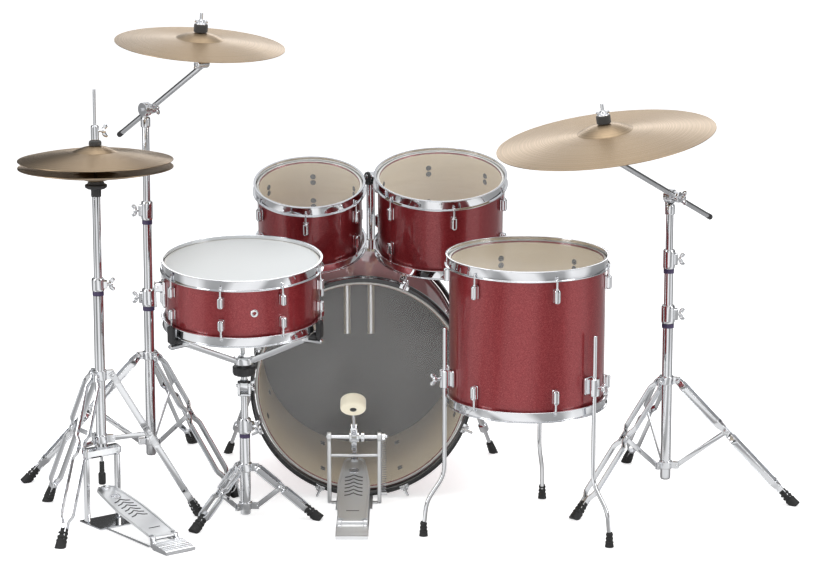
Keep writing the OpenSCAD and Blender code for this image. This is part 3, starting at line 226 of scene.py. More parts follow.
def show(name, surfaces, finishes, body, slot=None, stands_for=(), angle=32):
    """Makes one piece from grids of points: four neighbours make a face, equal points are welded,
    and a face that closes to a pole becomes a triangle."""
    pts, uvs, quads, marks, base = [], [], [], [], 0
    for P, mark in surfaces:
        a, b = P.shape[:2]
        along = np.concatenate([[0], np.linalg.norm(np.diff(P, axis=0), axis=2).max(1).cumsum()])
        across = np.concatenate([[0], np.linalg.norm(np.diff(P, axis=1), axis=2).max(0).cumsum()])
        u, v = np.meshgrid(along, across, indexing="ij")
        i = base + np.arange(a * b).reshape(a, b)
        quads.append(np.stack([i[:-1, :-1], i[:-1, 1:], i[1:, 1:], i[1:, :-1]], -1).reshape(-1, 4))
        marks.append(np.full((a - 1) * (b - 1), mark))
        pts.append(P.reshape(-1, 3))
        uvs.append(np.stack([v, u], -1).reshape(-1, 2))
        base += a * b
    pts, uvs = np.concatenate(pts), np.concatenate(uvs)
    quads, marks = np.concatenate(quads), np.concatenate(marks)
    _, first, same = np.unique(np.round(pts, 6), axis=0, return_index=True, return_inverse=True)
    welded = same.reshape(-1)[quads]
    keep = welded != np.roll(welded, 1, axis=1)
    count = keep.sum(1)
    good = count >= 3
    welded, keep, count, marks, quads = (x[good] for x in (welded, keep, count, marks, quads))
    loops, corner = welded[keep], quads[keep]
    mesh = bpy.data.meshes.new(name)
    mesh.vertices.add(len(first))
    mesh.vertices.foreach_set("co", pts[first].astype(np.float32).ravel())
    mesh.loops.add(len(loops))
    mesh.loops.foreach_set("vertex_index", loops.astype(np.int32))
    mesh.polygons.add(len(count))
    mesh.polygons.foreach_set("loop_start", np.concatenate([[0], count.cumsum()[:-1]]).astype(np.int32))
    mesh.polygons.foreach_set("material_index", marks.astype(np.int32))
    mesh.uv_layers.new(name="UVMap").data.foreach_set("uv", uvs[corner].astype(np.float32).ravel())
    mesh.update(calc_edges=True)
    mesh.validate()
    work = bmesh.new()
    work.from_mesh(mesh)
    bmesh.ops.recalc_face_normals(work, faces=work.faces)
    work.to_mesh(mesh)
    work.free()
    mesh.shade_smooth()
    mesh.set_sharp_from_angle(angle=math.radians(angle))
    for m in finishes:
        mesh.materials.append(m)
    piece = bpy.data.objects.new(name, mesh)
    bpy.context.scene.collection.objects.link(piece)
    if body:
        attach(piece, body)
    if stands_for:
        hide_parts(*stands_for)
    return piece


# ---------------------------------------------------------------- finishes

def group(name, inputs, outputs):
    """An empty shader group with its sockets, and its two end nodes."""
    g = bpy.data.node_groups.new(name, "ShaderNodeTree")
    for n, kind, value in inputs:
        s = g.interface.new_socket(name=n, in_out="INPUT", socket_type=kind)
        s.default_value = value
    for n, kind in outputs:
        g.interface.new_socket(name=n, in_out="OUTPUT", socket_type=kind)
    return g, g.nodes.new("NodeGroupInput"), g.nodes.new("NodeGroupOutput")


F, C = "NodeSocketFloat", "NodeSocketColor"


def add(tree, kind, **settings):
    """A new node of that kind with its settings."""
    n = tree.nodes.new(kind)
    for k, v in settings.items():
        setattr(n, k, v)
    return n


def wire(tree, *links):
    """Joins the shader nodes: each link is (node, its output, node, its input)."""
    for source, output, target, socket in links:
        tree.links.new(source.outputs[output], target.inputs[socket])


def handled_group():
    """Roughness = Base + Spread * (cloudy noise); Height = fine noise for a soft ripple."""
    g, i, o = group("handled surface", [("Base", F, 0.1), ("Spread", F, 0.1), ("Scale", F, 20.0)],
        [("Roughness", F), ("Height", F)])
    co = add(g, "ShaderNodeTexCoord")
    a = add(g, "ShaderNodeTexNoise")
    a.inputs["Detail"].default_value = 5
    b = add(g, "ShaderNodeTexNoise")
    b.inputs["Detail"].default_value = 3
    b.inputs["Scale"].default_value = 420
    m = add(g, "ShaderNodeMath", operation="MULTIPLY_ADD")
    wire(g, (co, "Object", a, "Vector"), (co, "Object", b, "Vector"), (i, "Scale", a, "Scale"),
        (a, "Fac", m, 0), (i, "Spread", m, 1), (i, "Base", m, 2), (m, 0, o, "Roughness"),
        (b, "Fac", o, "Height"))
    return g


def flecks_group():
    """Small cells under a broader cloudy noise; each cell's own random value, scaled by the noise, lifts the
    colour from Dark towards Light.
    """
    g, i, o = group("metal flecks",
        [("Dark", C, (0.1, 0, 0.01, 1)), ("Light", C, (0.5, 0.1, 0.1, 1)), ("Size", F, 900.0)],
        [("Color", C), ("Mask", F)])
    co = add(g, "ShaderNodeTexCoord")
    v = add(g, "ShaderNodeTexVoronoi")
    big = add(g, "ShaderNodeTexNoise")
    big.inputs["Scale"].default_value = 260
    ramp = add(g, "ShaderNodeMapRange")
    ramp.inputs["From Min"].default_value, ramp.inputs["From Max"].default_value = 0.45, 1.0
    sep = add(g, "ShaderNodeSeparateColor")
    mul = add(g, "ShaderNodeMath", operation="MULTIPLY")
    mix = add(g, "ShaderNodeMix", data_type="RGBA")
    for n in (v, big):
        wire(g, (co, "Object", n, "Vector"))
    wire(g, (i, "Size", v, "Scale"), (v, "Color", sep, 0), (sep, 0, ramp, "Value"), (ramp, 0, mul, 0),
        (big, "Fac", mul, 1), (mul, 0, mix, "Factor"), (i, "Dark", mix, "A"), (i, "Light", mix, "B"),
        (mix, "Result", o, "Color"), (mul, 0, o, "Mask"))
    return g


def rings_group():
    """Turning marks: noise stretched along the second UV axis, the distance run out from the middle."""
    g, i, o = group("turning marks", [("Fine", F, 1500.0), ("Broad", F, 420.0)],
        [("Height", F), ("Tone", F)])
    uv = add(g, "ShaderNodeUVMap", uv_map="UVMap")
    sep = add(g, "ShaderNodeSeparateXYZ")
    wire(g, (uv, 0, sep, 0))
    outs = []
    for k in ("Fine", "Broad"):
        n = add(g, "ShaderNodeTexNoise", noise_dimensions="1D")
        n.inputs["Detail"].default_value = 3
        m = add(g, "ShaderNodeMath", operation="MULTIPLY")
        wire(g, (sep, "Y", m, 0), (i, k, m, 1), (m, 0, n, "W"))
        n.inputs["Scale"].default_value = 1
        outs.append(n)
    wire(g, (outs[0], "Fac", o, "Height"), (outs[1], "Fac", o, "Tone"))
    return g


HANDLED, FLECKS, RINGS = handled_group(), flecks_group(), rings_group()


def finish(name, base, metallic=0.0, rough=0.3, spread=0.05, scale=20.0, bump=0.0, **extra):
    """A finish with a cloudy roughness and, if bump is set, a fine relief of that depth."""
    m = bpy.data.materials.new(name)
    m.use_nodes = True
    t = m.node_tree
    s = t.nodes["Principled BSDF"]
    s.inputs["Base Color"].default_value = (*base, 1)
    s.inputs["Metallic"].default_value = metallic
    h = add(t, "ShaderNodeGroup", node_tree=HANDLED)
    h.inputs["Base"].default_value = rough - spread / 2
    h.inputs["Spread"].default_value = spread
    h.inputs["Scale"].default_value = scale
    wire(t, (h, "Roughness", s, "Roughness"))
    if bump:
        b = add(t, "ShaderNodeBump")
        b.inputs["Distance"].default_value = bump
        b.inputs["Strength"].default_value = 1.0
        wire(t, (h, "Height", b, "Height"), (b, "Normal", s, "Normal"))
    for k, v in extra.items():
        s.inputs[k.replace("_", " ")].default_value = v
    m.diffuse_color = (*base, 1)
    return m


chrome = finish("chrome plate", (0.80, 0.81, 0.83), 1.0, 0.07, 0.05, 30)
satin_chrome = finish("satin chrome", (0.62, 0.63, 0.65), 1.0, 0.24, 0.10, 40, 0.00001)
cast = finish("cast pedal metal", (0.78, 0.79, 0.80), 0.9, 0.34, 0.12, 60, 0.00003)
steel = finish("spring steel", (0.55, 0.56, 0.58), 1.0, 0.22, 0.10, 60)
black_gloss = finish("black lacquer", (0.010, 0.010, 0.011), 0.0, 0.10, 0.06, 12, Coat_Weight=0.6)
black_plastic = finish("black plastic", (0.020, 0.020, 0.021), 0.0, 0.42, 0.12, 50, 0.00002)
rubber = finish("moulded rubber", (0.016, 0.016, 0.016), 0.0, 0.62, 0.14, 70, 0.00006)
felt = finish("pressed felt", (0.045, 0.044, 0.043), 0.0, 0.92, 0.05, 200, 0.0003, Sheen_Weight=0.3)
cream_felt = finish("beater felt", (0.80, 0.74, 0.58), 0.0, 0.80, 0.08, 120, 0.0002, Sheen_Weight=0.3)
purple = finish("memory lock nylon", (0.05, 0.035, 0.09), 0.0, 0.38, 0.10, 50)
coated = finish("coated film", (0.70, 0.72, 0.72), 0.0, 0.55, 0.10, 15, 0.00004)
black_film = finish("black film", (0.020, 0.020, 0.021), 0.0, 0.32, 0.08, 10)
collar_white = finish("film collar", (0.74, 0.73, 0.69), 0.0, 0.35, 0.06, 20)


def wood_inside():
    """Pale ply: fine streaks run round the shell, mixed between two creams."""
    m = finish("cream shell inside", (0.72, 0.62, 0.45), 0.0, 0.45, 0.10, 30)
    t = m.node_tree
    co = add(t, "ShaderNodeTexCoord")
    mp = add(t, "ShaderNodeMapping")
    mp.inputs["Scale"].default_value = (6, 6, 90)
    n = add(t, "ShaderNodeTexNoise")
    n.inputs["Scale"].default_value, n.inputs["Detail"].default_value = 1, 6
    mix = add(t, "ShaderNodeMix", data_type="RGBA")
    mix.inputs["A"].default_value = (0.78, 0.69, 0.53, 1)
    mix.inputs["B"].default_value = (0.66, 0.55, 0.38, 1)
    wire(t, (co, "Object", mp, "Vector"), (mp, 0, n, "Vector"), (n, "Fac", mix, "Factor"),
        (mix, "Result", t.nodes["Principled BSDF"], "Base Color"))
    return m


def sparkle():
    """Dark red wrap full of small metal flecks under a clear coat."""
    m = finish("red sparkle wrap", (0.16, 0.010, 0.018), 0.55, 0.36, 0.06, 25, Coat_Weight=0.8,
        Coat_Roughness=0.03)
    t = m.node_tree
    f = add(t, "ShaderNodeGroup", node_tree=FLECKS)
    f.inputs["Dark"].default_value = (0.21, 0.008, 0.014, 1)
    f.inputs["Light"].default_value = (0.62, 0.11, 0.11, 1)
    f.inputs["Size"].default_value = 1500
    wire(t, (f, "Color", t.nodes["Principled BSDF"], "Base Color"))
    return m


def bronze():
    """Lathed cymbal bronze: tone and fine relief follow the turning marks, and the gloss is drawn
    out across them into bright rays."""
    m = finish("lathed bronze", (0.50, 0.36, 0.20), 1.0, 0.34, 0.08, 9, Anisotropic=0.75,
        Anisotropic_Rotation=0.25)
    t = m.node_tree
    s = t.nodes["Principled BSDF"]
    r = add(t, "ShaderNodeGroup", node_tree=RINGS)
    mix = add(t, "ShaderNodeMix", data_type="RGBA")
    mix.inputs["A"].default_value = (0.22, 0.150, 0.085, 1)
    mix.inputs["B"].default_value = (0.66, 0.50, 0.33, 1)
    b = add(t, "ShaderNodeBump")
    b.inputs["Distance"].default_value = 0.00025
    tan = add(t, "ShaderNodeTangent", direction_type="UV_MAP", uv_map="UVMap")
    wire(t, (tan, 0, s, "Tangent"), (r, "Tone", mix, "Factor"), (mix, "Result", s, "Base Color"),
        (r, "Height", b, "Height"), (b, "Normal", s, "Normal"))
    return m


def clear_film():
    """Clear drum film: nearly see-through, with a faint haze and a gloss."""
    m = finish("clear film", (0.80, 0.80, 0.79), 0.0, 0.12, 0.08, 12)
    s = m.node_tree.nodes["Principled BSDF"]
    t = m.node_tree
    n = add(t, "ShaderNodeTexNoise")
    n.inputs["Scale"].default_value = 7
    co = add(t, "ShaderNodeTexCoord")
    r = add(t, "ShaderNodeMapRange")
    r.inputs["To Min"].default_value, r.inputs["To Max"].default_value = 0.07, 0.13
    wire(t, (co, "Object", n, "Vector"), (n, "Fac", r, "Value"), (r, 0, s, "Alpha"))
    return m


cream, wrap, cymbal_metal, film = wood_inside(), sparkle(), bronze(), clear_film()
slot_finish = {"wrap_red": wrap, "hoop_black": black_gloss, "film_clear": film, "film_coated": coated,
    "film_black": black_film, "chrome": chrome, "bronze": cymbal_metal, "rubber": rubber,
    "cast_alu": cast}
slot_of = {s["node"]: s["material_slot"] for s in record["subparts"]}
for n, o in nodes.items():
    for k in range(len(o.material_slots)):
        o.material_slots[k].material = slot_finish[slot_of[n]]


def piece(name, surfaces, finishes, node, others=(), slot=None, **k):
    """A detailed piece that stands for a CAD node and moves with its body."""
    return show(name, surfaces, finishes, body_of[node], slot or slot_of[node], (node, *others), **k)


# ---------------------------------------------------------------- drums

def solve_turn(wide, long, r):
    """A drum of radius r turned by t fills wide = 2 r cos t + L sin t and
    long = 2 r sin t + L cos t."""
    t = np.linspace(0, math.radians(30), 6001)
    L = (long - 2 * r * np.sin(t)) / np.cos(t)
    k = np.argmin(np.abs(2 * r * np.cos(t) + L * np.sin(t) - wide))
    return float(t[k]), float(L[k])


def drum_place(node):
    """Placement of a leaning drum's shell: its middle, with local z along the drum."""
    lo, hi = (np.array(v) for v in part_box(node))
    r = (hi - lo)[0] / 2
    t, L = solve_turn((hi - lo)[1], (hi - lo)[2], r)
    T = np.eye(4)
    T[:3, :3] = [[1, 0, 0], [0, math.cos(t), -math.sin(t)], [0, math.sin(t), math.cos(t)]]
    T[:3, 3] = (lo + hi) / 2
    return T, r, L


RIM, HOOP = 0.009, 0.025


def shell_surfaces(r, L, wall, edge=0.004):
    """Outside with its edges, and inside, as two grids that meet on both bearing edges."""
    h = L / 2
    outer = turned_profile([[r - wall + 0.001, -h + edge], [r - 0.0025, -h], [r, -h + 0.002],
        [r, h - 0.002], [r - 0.0025, h], [r - wall + 0.001, h - edge]])
    inner = turned_profile([[r - wall + 0.001, h - edge], [r - wall, h - edge - 0.003], [r - wall, 0],
        [r - wall, -h + edge + 0.003], [r - wall + 0.001, -h + edge]])
    return [(outer, 0), (inner, 1)]


def turned_profile(rz, n=128):
    """Lathe work about z from (r, z) pairs."""
    q = np.asarray(rz, float)
    a = np.linspace(0, 2 * math.pi, n + 1)
    return np.stack([q[:, 0, None] * np.cos(a), q[:, 0, None] * np.sin(a), q[:, 1, None] + 0 * a], -1)


def hoop_surface(r):
    """Flanged metal hoop with a rolled top edge; z is measured from the rim's top."""
    o = [[r + 0.0028, -HOOP], [r + 0.011, -HOOP], [r + 0.011, -HOOP + 0.002],
        [r + 0.0047, -HOOP + 0.0022], [r + 0.0047, -0.0030], [r + 0.0086, -0.0022], [r + 0.0086, 0.0],
        [r + 0.0028, 0.0]]
    return turned_profile(round_corners(o, 0.0009, steps=4))


def head_surfaces(r, marks):
    """Film, its white collar inside the hoop and its flesh hoop; z = 0 is the bearing edge."""
    film_grid = turned_profile([[0, 0.0002], [r * 0.5, 0.0002], [r - 0.004, 0.0002],
        [r - 0.004, 0.0006], [r * 0.5, 0.0006], [0, 0.0006]], 96)
    collar = turned_profile(round_corners([[r - 0.004, 0.0001], [r - 0.002, 0.0001],
        [r + 0.0004, -0.002], [r + 0.0004, -0.0108], [r + 0.0023, -0.0108], [r + 0.0023, -0.0072],
        [r + 0.0012, -0.007], [r + 0.0012, 0.0002], [r - 0.002, 0.0008], [r - 0.004, 0.0008]], 0.0004,
        steps=3), 96)
    return [(film_grid, marks[0]), (collar, marks[1])]


def lug_surfaces(r, drop, h):
    """One lug at +x below the rim, with its rod, washer and square head."""
    z0 = -drop - h
    line, count = r + 0.0078, 22
    # bullet-shaped receiver: round front on a narrower foot
    s = np.linspace(0, 1, count)
    k = 0.72 + 0.28 * np.minimum(1, np.minimum(s, 1 - s) * 7) ** 0.5
    sec = round_corners([[-0.0072, -0.0042], [0.0072, -0.0042], [0.0072, 0.0045], [0.0038, 0.0082],
        [-0.0038, 0.0082], [-0.0072, 0.0045]], 0.0022)
    path = np.stack([np.full(count, line), np.zeros(count), z0 + h * s], 1)
    body = sweep(path, sec, up=(1, 0, 0), bevel=0.001, taper=k)
    foot = block([r + 0.0002 + 0.002, 0, z0 + h / 2], [0.004, 0.0142, h - 0.001], 0.0016)
    nut = solid_turned([line, 0, z0 + h], [0, 0, 1], [[-0.001, 0.0040], [0.0022, 0.0040]], 0.0005, 20)
    stem = rod([line, 0, z0 + h], [line, 0, -HOOP + 0.002], 0.0026, 14)
    washer = solid_turned([line, 0, -HOOP + 0.002], [0, 0, 1],
        [[0, 0.0031], [0.0012, 0.0031], [0.0012, 0.0028], [0.0042, 0.0030], [0.0050, 0.0020]], 0.0004,
        20)
    key = block([line, 0, -HOOP + 0.009], [0.0040, 0.0040, 0.0040], 0.0005)
    return [(body, 0), (foot, 0), (nut, 0), (stem, 0), (washer, 0), (key, 0)]


def both_ends(surfaces, L, n, first):
    """The pieces at every lug, at the batter end and mirrored at the other end."""
    out = []
    for P, m in surfaces:
        up = P + np.array([0, 0, L / 2 + RIM])
        for i in range(n):
            out.append((spun(up, first + 360 * i / n), m))
            out.append((spun(flipped(up), first + 360 * i / n), m))
    return out


def drum(prefix, n, first, drop, h, clear=True, wall=0.006):
    """Shell, hoops and heads of one metal-hooped drum; returns its placement, radius and depth."""
    T, r, L = drum_place(prefix + "_shell")
    shell = shell_surfaces(r, L, wall)
    dots = []
    if clear:
        for i in range(n):
            for end in (-1, 1):
                for z in (drop + h * 0.25, drop + h * 0.75):
                    p = [r - wall + 0.0004, 0, end * (L / 2 + RIM - z)]
                    screw = solid_turned(p, [-1, 0, 0],
                        [[0, 0.0072], [0.0016, 0.0066], [0.0022, 0.0034]], 0.0004, 18)
                    dots.append((spun(screw, first + 360 * i / n), 2))
    label = prefix.replace("tom1", "small_tom").replace("tom2", "large_tom")
    piece(label + "_wrapped_shell", [(placed(P, T), m) for P, m in shell + dots],
        [wrap, cream, black_plastic], prefix + "_shell")
    hoop = hoop_surface(r) + np.array([0, 0, L / 2 + RIM])
    piece(label + "_rims", [(placed(P, T), 0) for P in (hoop, flipped(hoop))], [chrome],
        prefix + "_hoops")
    top = head_surfaces(r, (0, 1))
    up = [(P + np.array([0, 0, L / 2]), m) for P, m in top]
    piece(label + "_skins",
        [(placed(P, T), m) for P, m in up] + [(placed(flipped(P), T), m) for P, m in up],
        [film if clear else coated, collar_white], prefix + "_heads")
    return T, r, L, label


def marked(shapes, mark=0):
    """The shapes, each with the number of its finish."""
    return [(P, mark) for P in shapes]


def wing_bolt(p, axis, reach, span=0.030, across=(0, 0, 1), r=0.0035):
    """Threaded stem, round boss and two rounded ears that stand across it."""
    p, a = np.asarray(p, float), unit(axis)
    w = unit(np.asarray(across, float) - a * np.dot(across, a))
    b = np.cross(a, w)
    tip = p + a * reach
    out = [rod(p, tip, r, 16),
        solid_turned(tip - a * 0.009, a, [[0, 0.0055], [0.006, 0.0062], [0.010, 0.0045]], 0.0008, 20)]
    for s in (-1, 1):
        out.append(blob(tip - a * 0.001 + w * s * span * 0.30, (0.0024, span * 0.21, 0.0075),
            np.stack([b, w, unit(a + w * s * 0.35)]), 12))
    return out


LUG_PLAN = {"tom1": (6, -32, 0.042, 0.032), "tom2": (6, -19, 0.042, 0.032),
    "floor_tom": (6, -11.6, 0.042, 0.032), "snare": (8, -12, 0.040, 0.025)}
drums = {}
for prefix, (n, first, drop, h) in LUG_PLAN.items():
    drums[prefix] = drum(prefix, n, first, drop, h, clear=prefix != "snare")


def lugs_of(prefix):
    """A drum's lugs in place, with its placement, radius, depth and label."""
    n, first, drop, h = LUG_PLAN[prefix]
    T, r, L, label = drums[prefix]
    return [(placed(P, T), m) for P,
        m in both_ends(lug_surfaces(r, drop, h), L, n, first)], T, r, L, label


def tom_fittings(prefix, tilt):
    """Lugs, the shell bracket and the rod that reaches the arm's hinge."""
    out, T, r, _, label = lugs_of(prefix)
    pin = np.array(joints[tilt]["pos_m"])
    q = (pin - T[:3, 3]) @ T[:3, :3]
    a = math.degrees(math.atan2(q[1], q[0]))
    rho = math.hypot(q[0], q[1])
    local = [block([r + 0.0045, 0, q[2]], [0.008, 0.047, 0.055], 0.006),
        block([r + 0.0095, 0, q[2]], [0.004, 0.036, 0.044], 0.0019),
        solid_turned([r + 0.004, 0, q[2]], [1, 0, 0], [[0, 0.0138], [0.012, 0.0138], [0.020, 0.010]],
            0.0012, 32),
        rod([r + 0.006, 0, q[2]], [rho - 0.006, 0, q[2]], 0.0063, 24)]
    for y in (-0.017, 0.017):
        for z in (-0.020, 0.020):
            local.append(turned_round([r + 0.011, y, q[2] + z], [1, 0, 0],
                [[-0.003, 0], [-0.003, 0.0035], [0.0015, 0.003], [0.002, 0]], 0.0004, 14))
    hinge = np.array(joints[tilt]["axis"])
    out += [(placed(spun(P, a), T), 0) for P in local]
    out.append((bored_turned(pin - hinge * 0.0075, hinge, 0.0041, [[0, 0.0118], [0.015, 0.0118]],
        0.0008, 32), 0))
    piece(label + "_lugs_and_bracket", out, [chrome], prefix + "_fittings")


def tom_pipe(arm, tilt, label):
    """Sliding pipe with a scale ring, and the fork that pinches the drum's hinge."""
    low_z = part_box(arm)[0][2]
    p = np.array(joints[tilt]["pos_m"])
    hinge = np.array(joints[tilt]["axis"])
    up = np.array([0, 0, 1.0])
    ahead = np.cross(up, hinge)
    axes = np.stack([hinge, ahead, up])
    foot = [p[0], p[1], low_z]
    pipe_h = p[2] - 0.020 - low_z
    out = [(turned(foot, up,
        [[0, 0.009], [0, 0.0105], [0.0006, 0.011], [pipe_h, 0.011], [pipe_h, 0.0], [pipe_h - 0.05, 0.0],
            [pipe_h - 0.05, 0.009], [0, 0.009]], 36), 0),
        (block(p + up * -0.018, [0.0270, 0.0215, 0.008], 0.0025, axes), 1)]
    for s in (-1, 1):
        out.append((block(p + hinge * s * 0.0105 + up * -0.008, [0.0048, 0.0215, 0.016], 0.0015, axes),
            1))
        out.append((turned_round(p + hinge * s * 0.0082, hinge * s,
            [[0, 0], [0, 0.0108], [0.0046, 0.0108], [0.0048, 0]], 0.0008, 32), 1))
        out.append((turned_round(p + hinge * s * 0.0127, hinge * s,
            [[0, 0], [0, 0.006], [0.0018, 0.0055], [0.002, 0]], 0.0004, 6), 0))
    piece(label + "_arm", out, [chrome, black_plastic], arm)


for prefix, arm, tilt in (("tom1", "tom1_arm", "tom1_tilt"), ("tom2", "tom2_arm", "tom2_tilt")):
    tom_fittings(prefix, tilt)
    tom_pipe(arm, tilt, drums[prefix][3])


# floor tom: lugs, leg brackets and legs
LEG_TURNS = [78 + 120 * i for i in range(3)]
out, T, r, L, label = lugs_of("floor_tom")
for turn in LEG_TURNS:
    z = L / 2 + RIM - 0.278
    local = [block([r + 0.004, 0, z], [0.0075, 0.033, 0.040], 0.0030),
        block([r + 0.013, 0, z], [0.016, 0.018, 0.040], 0.0030),
        turned([r + 0.020, 0, z - 0.020], [0, 0, 1],
            [[0, 0.00508], [0, 0.011], [0.001, 0.012], [0.039, 0.012], [0.040, 0.011], [0.040, 0.00508],
                [0, 0.00508]], 32)]
    local += wing_bolt([r + 0.0262, 0, z], [1, 0, 0], 0.022, 0.026)
    out += [(placed(spun(P, turn), T), 0) for P in local]
piece("floor_tom_lugs_and_clamps", out, [chrome], "floor_tom_fittings")


def floor_legs():
    """Rod with two bends: straight beside the drum, out to the side, then down to the floor."""
    up = T[:3, 2]
    rim = T[:3, 3] + up * (L / 2 + RIM)
    lean = math.asin(-up[1])
    out, feet = [], []

    def at(radius, a, h=None, z=None):
        """The point at that radius and angle, at height h over the floor or z along the drum."""
        p = np.array([radius * math.cos(a), radius * math.sin(a), 0.0])
        p[2] = z if z is not None else (h - rim[2] - p[1] * math.sin(lean)) / math.cos(lean)
        return p @ T[:3, :3].T + rim

    for turn in LEG_TURNS:
        a = math.radians(turn)
        ends = np.array([at(r + 0.020, a, z=-RIM - 0.150), at(r + 0.020, a, h=0.142),
            at(r + 0.063, a, h=0.082), at(r + 0.070, a, h=0.0155)])
        t = np.linspace(0, 1, 7)[:, None]
        path = [ends[:1]]
        for k in (1, 2):
            A, B, D = ends[k - 1], ends[k], ends[k + 1]
            P, Q = B + unit(A - B) * 0.022, B + unit(D - B) * 0.022
            path.append((1 - t) ** 2 * P + 2 * t * (1 - t) * B + t * t * Q)
        path.append(ends[3:])
        outward = [math.cos(a + 1.57), math.sin(a + 1.57), 0]
        out.append((sweep(np.concatenate(path), circle(0.005, 20), up=outward, bevel=0.001), 0))
        feet.append(at(r + 0.070, a, h=0.0))
    return out, feet


legs, floor_feet = floor_legs()
piece("floor_tom_leg_rods", legs, [chrome], "floor_tom_legs")

# snare: lugs, throw-off housing, butt plate and vent
out, T, r, L, label = lugs_of("snare")
lever_at = np.array(joints["throw_off"]["pos_m"])
q = (lever_at - T[:3, 3]) @ T[:3, :3]
a = math.degrees(math.atan2(q[1], q[0]))
local = [block([r + 0.004, 0, q[2] - 0.018], [0.0085, 0.027, 0.066], 0.003),
    block([r + 0.010, 0, q[2] - 0.026], [0.006, 0.020, 0.030], 0.0025)]
for s in (-1, 1):
    local.append(block([r + 0.0155, s * 0.011, q[2] - 0.001], [0.0205, 0.0056, 0.020], 0.0022))
butt = [block([r + 0.0055, 0, q[2] - 0.022], [0.0105, 0.031, 0.046], 0.004),
    rod([r + 0.009, -0.010, q[2] - 0.022], [r + 0.009, 0.010, q[2] - 0.022], 0.003, 14)]
vent = turned_round([r + 0.0001, 0, 0.0], [1, 0, 0],
    [[0, 0.004], [0, 0.0095], [0.0018, 0.0085], [0.0022, 0.006], [0.0016, 0.004], [0, 0.004]], 0.0005,
    32)
out += [(placed(spun(P, a), T), 0) for P in local] + [(placed(spun(P, a + 180), T), 0) for P in butt]
out.append((placed(spun(vent, 282), T), 0))
piece("snare_lugs_and_throw_off", out, [chrome], "snare_fittings")
lever = [block([0.0035, 0, -0.028], [0.0045, 0.0118, 0.046], 0.002),
    block([0, 0, -0.001], [0.0115, 0.0148, 0.0135], 0.002),
    rod([0, -0.0144, 0], [0, 0.0144, 0], 0.003, 16)]
piece("snare_lever",
    [(placed(spun(P + np.array([math.hypot(q[0], q[1]), 0, q[2]]), a), T), 0) for P in lever], [chrome],
    "snare_throw_off")
wires = []
for k in range(20):
    y = (k - 9.5) * 0.0022
    x = math.sqrt((r - 0.022) ** 2 - y * y)
    z = -L / 2 - 0.0022
    wires.append((placed(spun(sweep([[-x * 0.82, y, z], [x * 0.82, y, z]], circle(0.0007, 5)), a), T),
        0))
for s in (-1, 1):
    wires.append((placed(spun(block([s * (r - 0.040), 0, -L / 2 - 0.0025], [0.016, 0.048, 0.001],
        0.0005), a), T), 0))
show("snare_wires", wires, [steel], body_of["snare_shell"], "chrome")


# ---------------------------------------------------------------- bass drum

lo, hi = (np.array(v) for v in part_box("bass_shell"))
BR = (hi - lo)[2] / 2
yaw, BL = solve_turn((hi - lo)[0], (hi - lo)[1], BR)
B = np.eye(4)
B[:3, 0] = [math.cos(yaw), math.sin(yaw), 0]
B[:3, 1] = [0, 0, 1]
B[:3, 2] = [math.sin(yaw), -math.cos(yaw), 0]
B[:3, 3] = (lo + hi) / 2
PROUD, HOOP_W, HOOP_IN, HOOP_OUT = 0.022, 0.038, BR + 0.004, BR + 0.014
END = BL / 2 + PROUD
CLAW_TURNS = [22.5 + 45 * i for i in range(8)]
screws = []
for turn in CLAW_TURNS:
    for end in (-1, 1):
        for z in (0.084, 0.101):
            p = [BR - 0.0068, 0, end * (BL / 2 - z)]
            s = solid_turned(p, [-1, 0, 0], [[0, 0.0068], [0.0016, 0.0062], [0.0022, 0.003]], 0.0004,
                16)
            screws.append((placed(spun(s, turn), B), 2))
piece("bass_wrapped_shell", [(placed(P, B), m) for P, m in shell_surfaces(BR, BL, 0.007)] + screws,
    [wrap, cream, black_plastic], "bass_shell")
hoop = turned_profile(round_corners([[HOOP_IN, END - HOOP_W], [HOOP_OUT, END - HOOP_W], [HOOP_OUT, END],
    [HOOP_IN, END]], 0.0022, steps=5), 160)
piece("bass_lacquered_hoops", [(placed(P, B), 0) for P in (hoop, flipped(hoop))], [black_gloss],
    "bass_hoops")


def bass_head(marks):
    """Film, a bright collar ring and the flesh hoop inside the wooden hoop."""
    return [(P + np.array([0, 0, BL / 2]), m) for P, m in head_surfaces(BR, marks)]


piece("bass_clear_skin", [(placed(P, B), m) for P, m in bass_head((0, 1))], [film, collar_white],
    "bass_batter_head")
front = [(placed(flipped(P), B), m) for P, m in bass_head((0, 0))]
piece("bass_black_skin", front, [black_film], "bass_front_head")


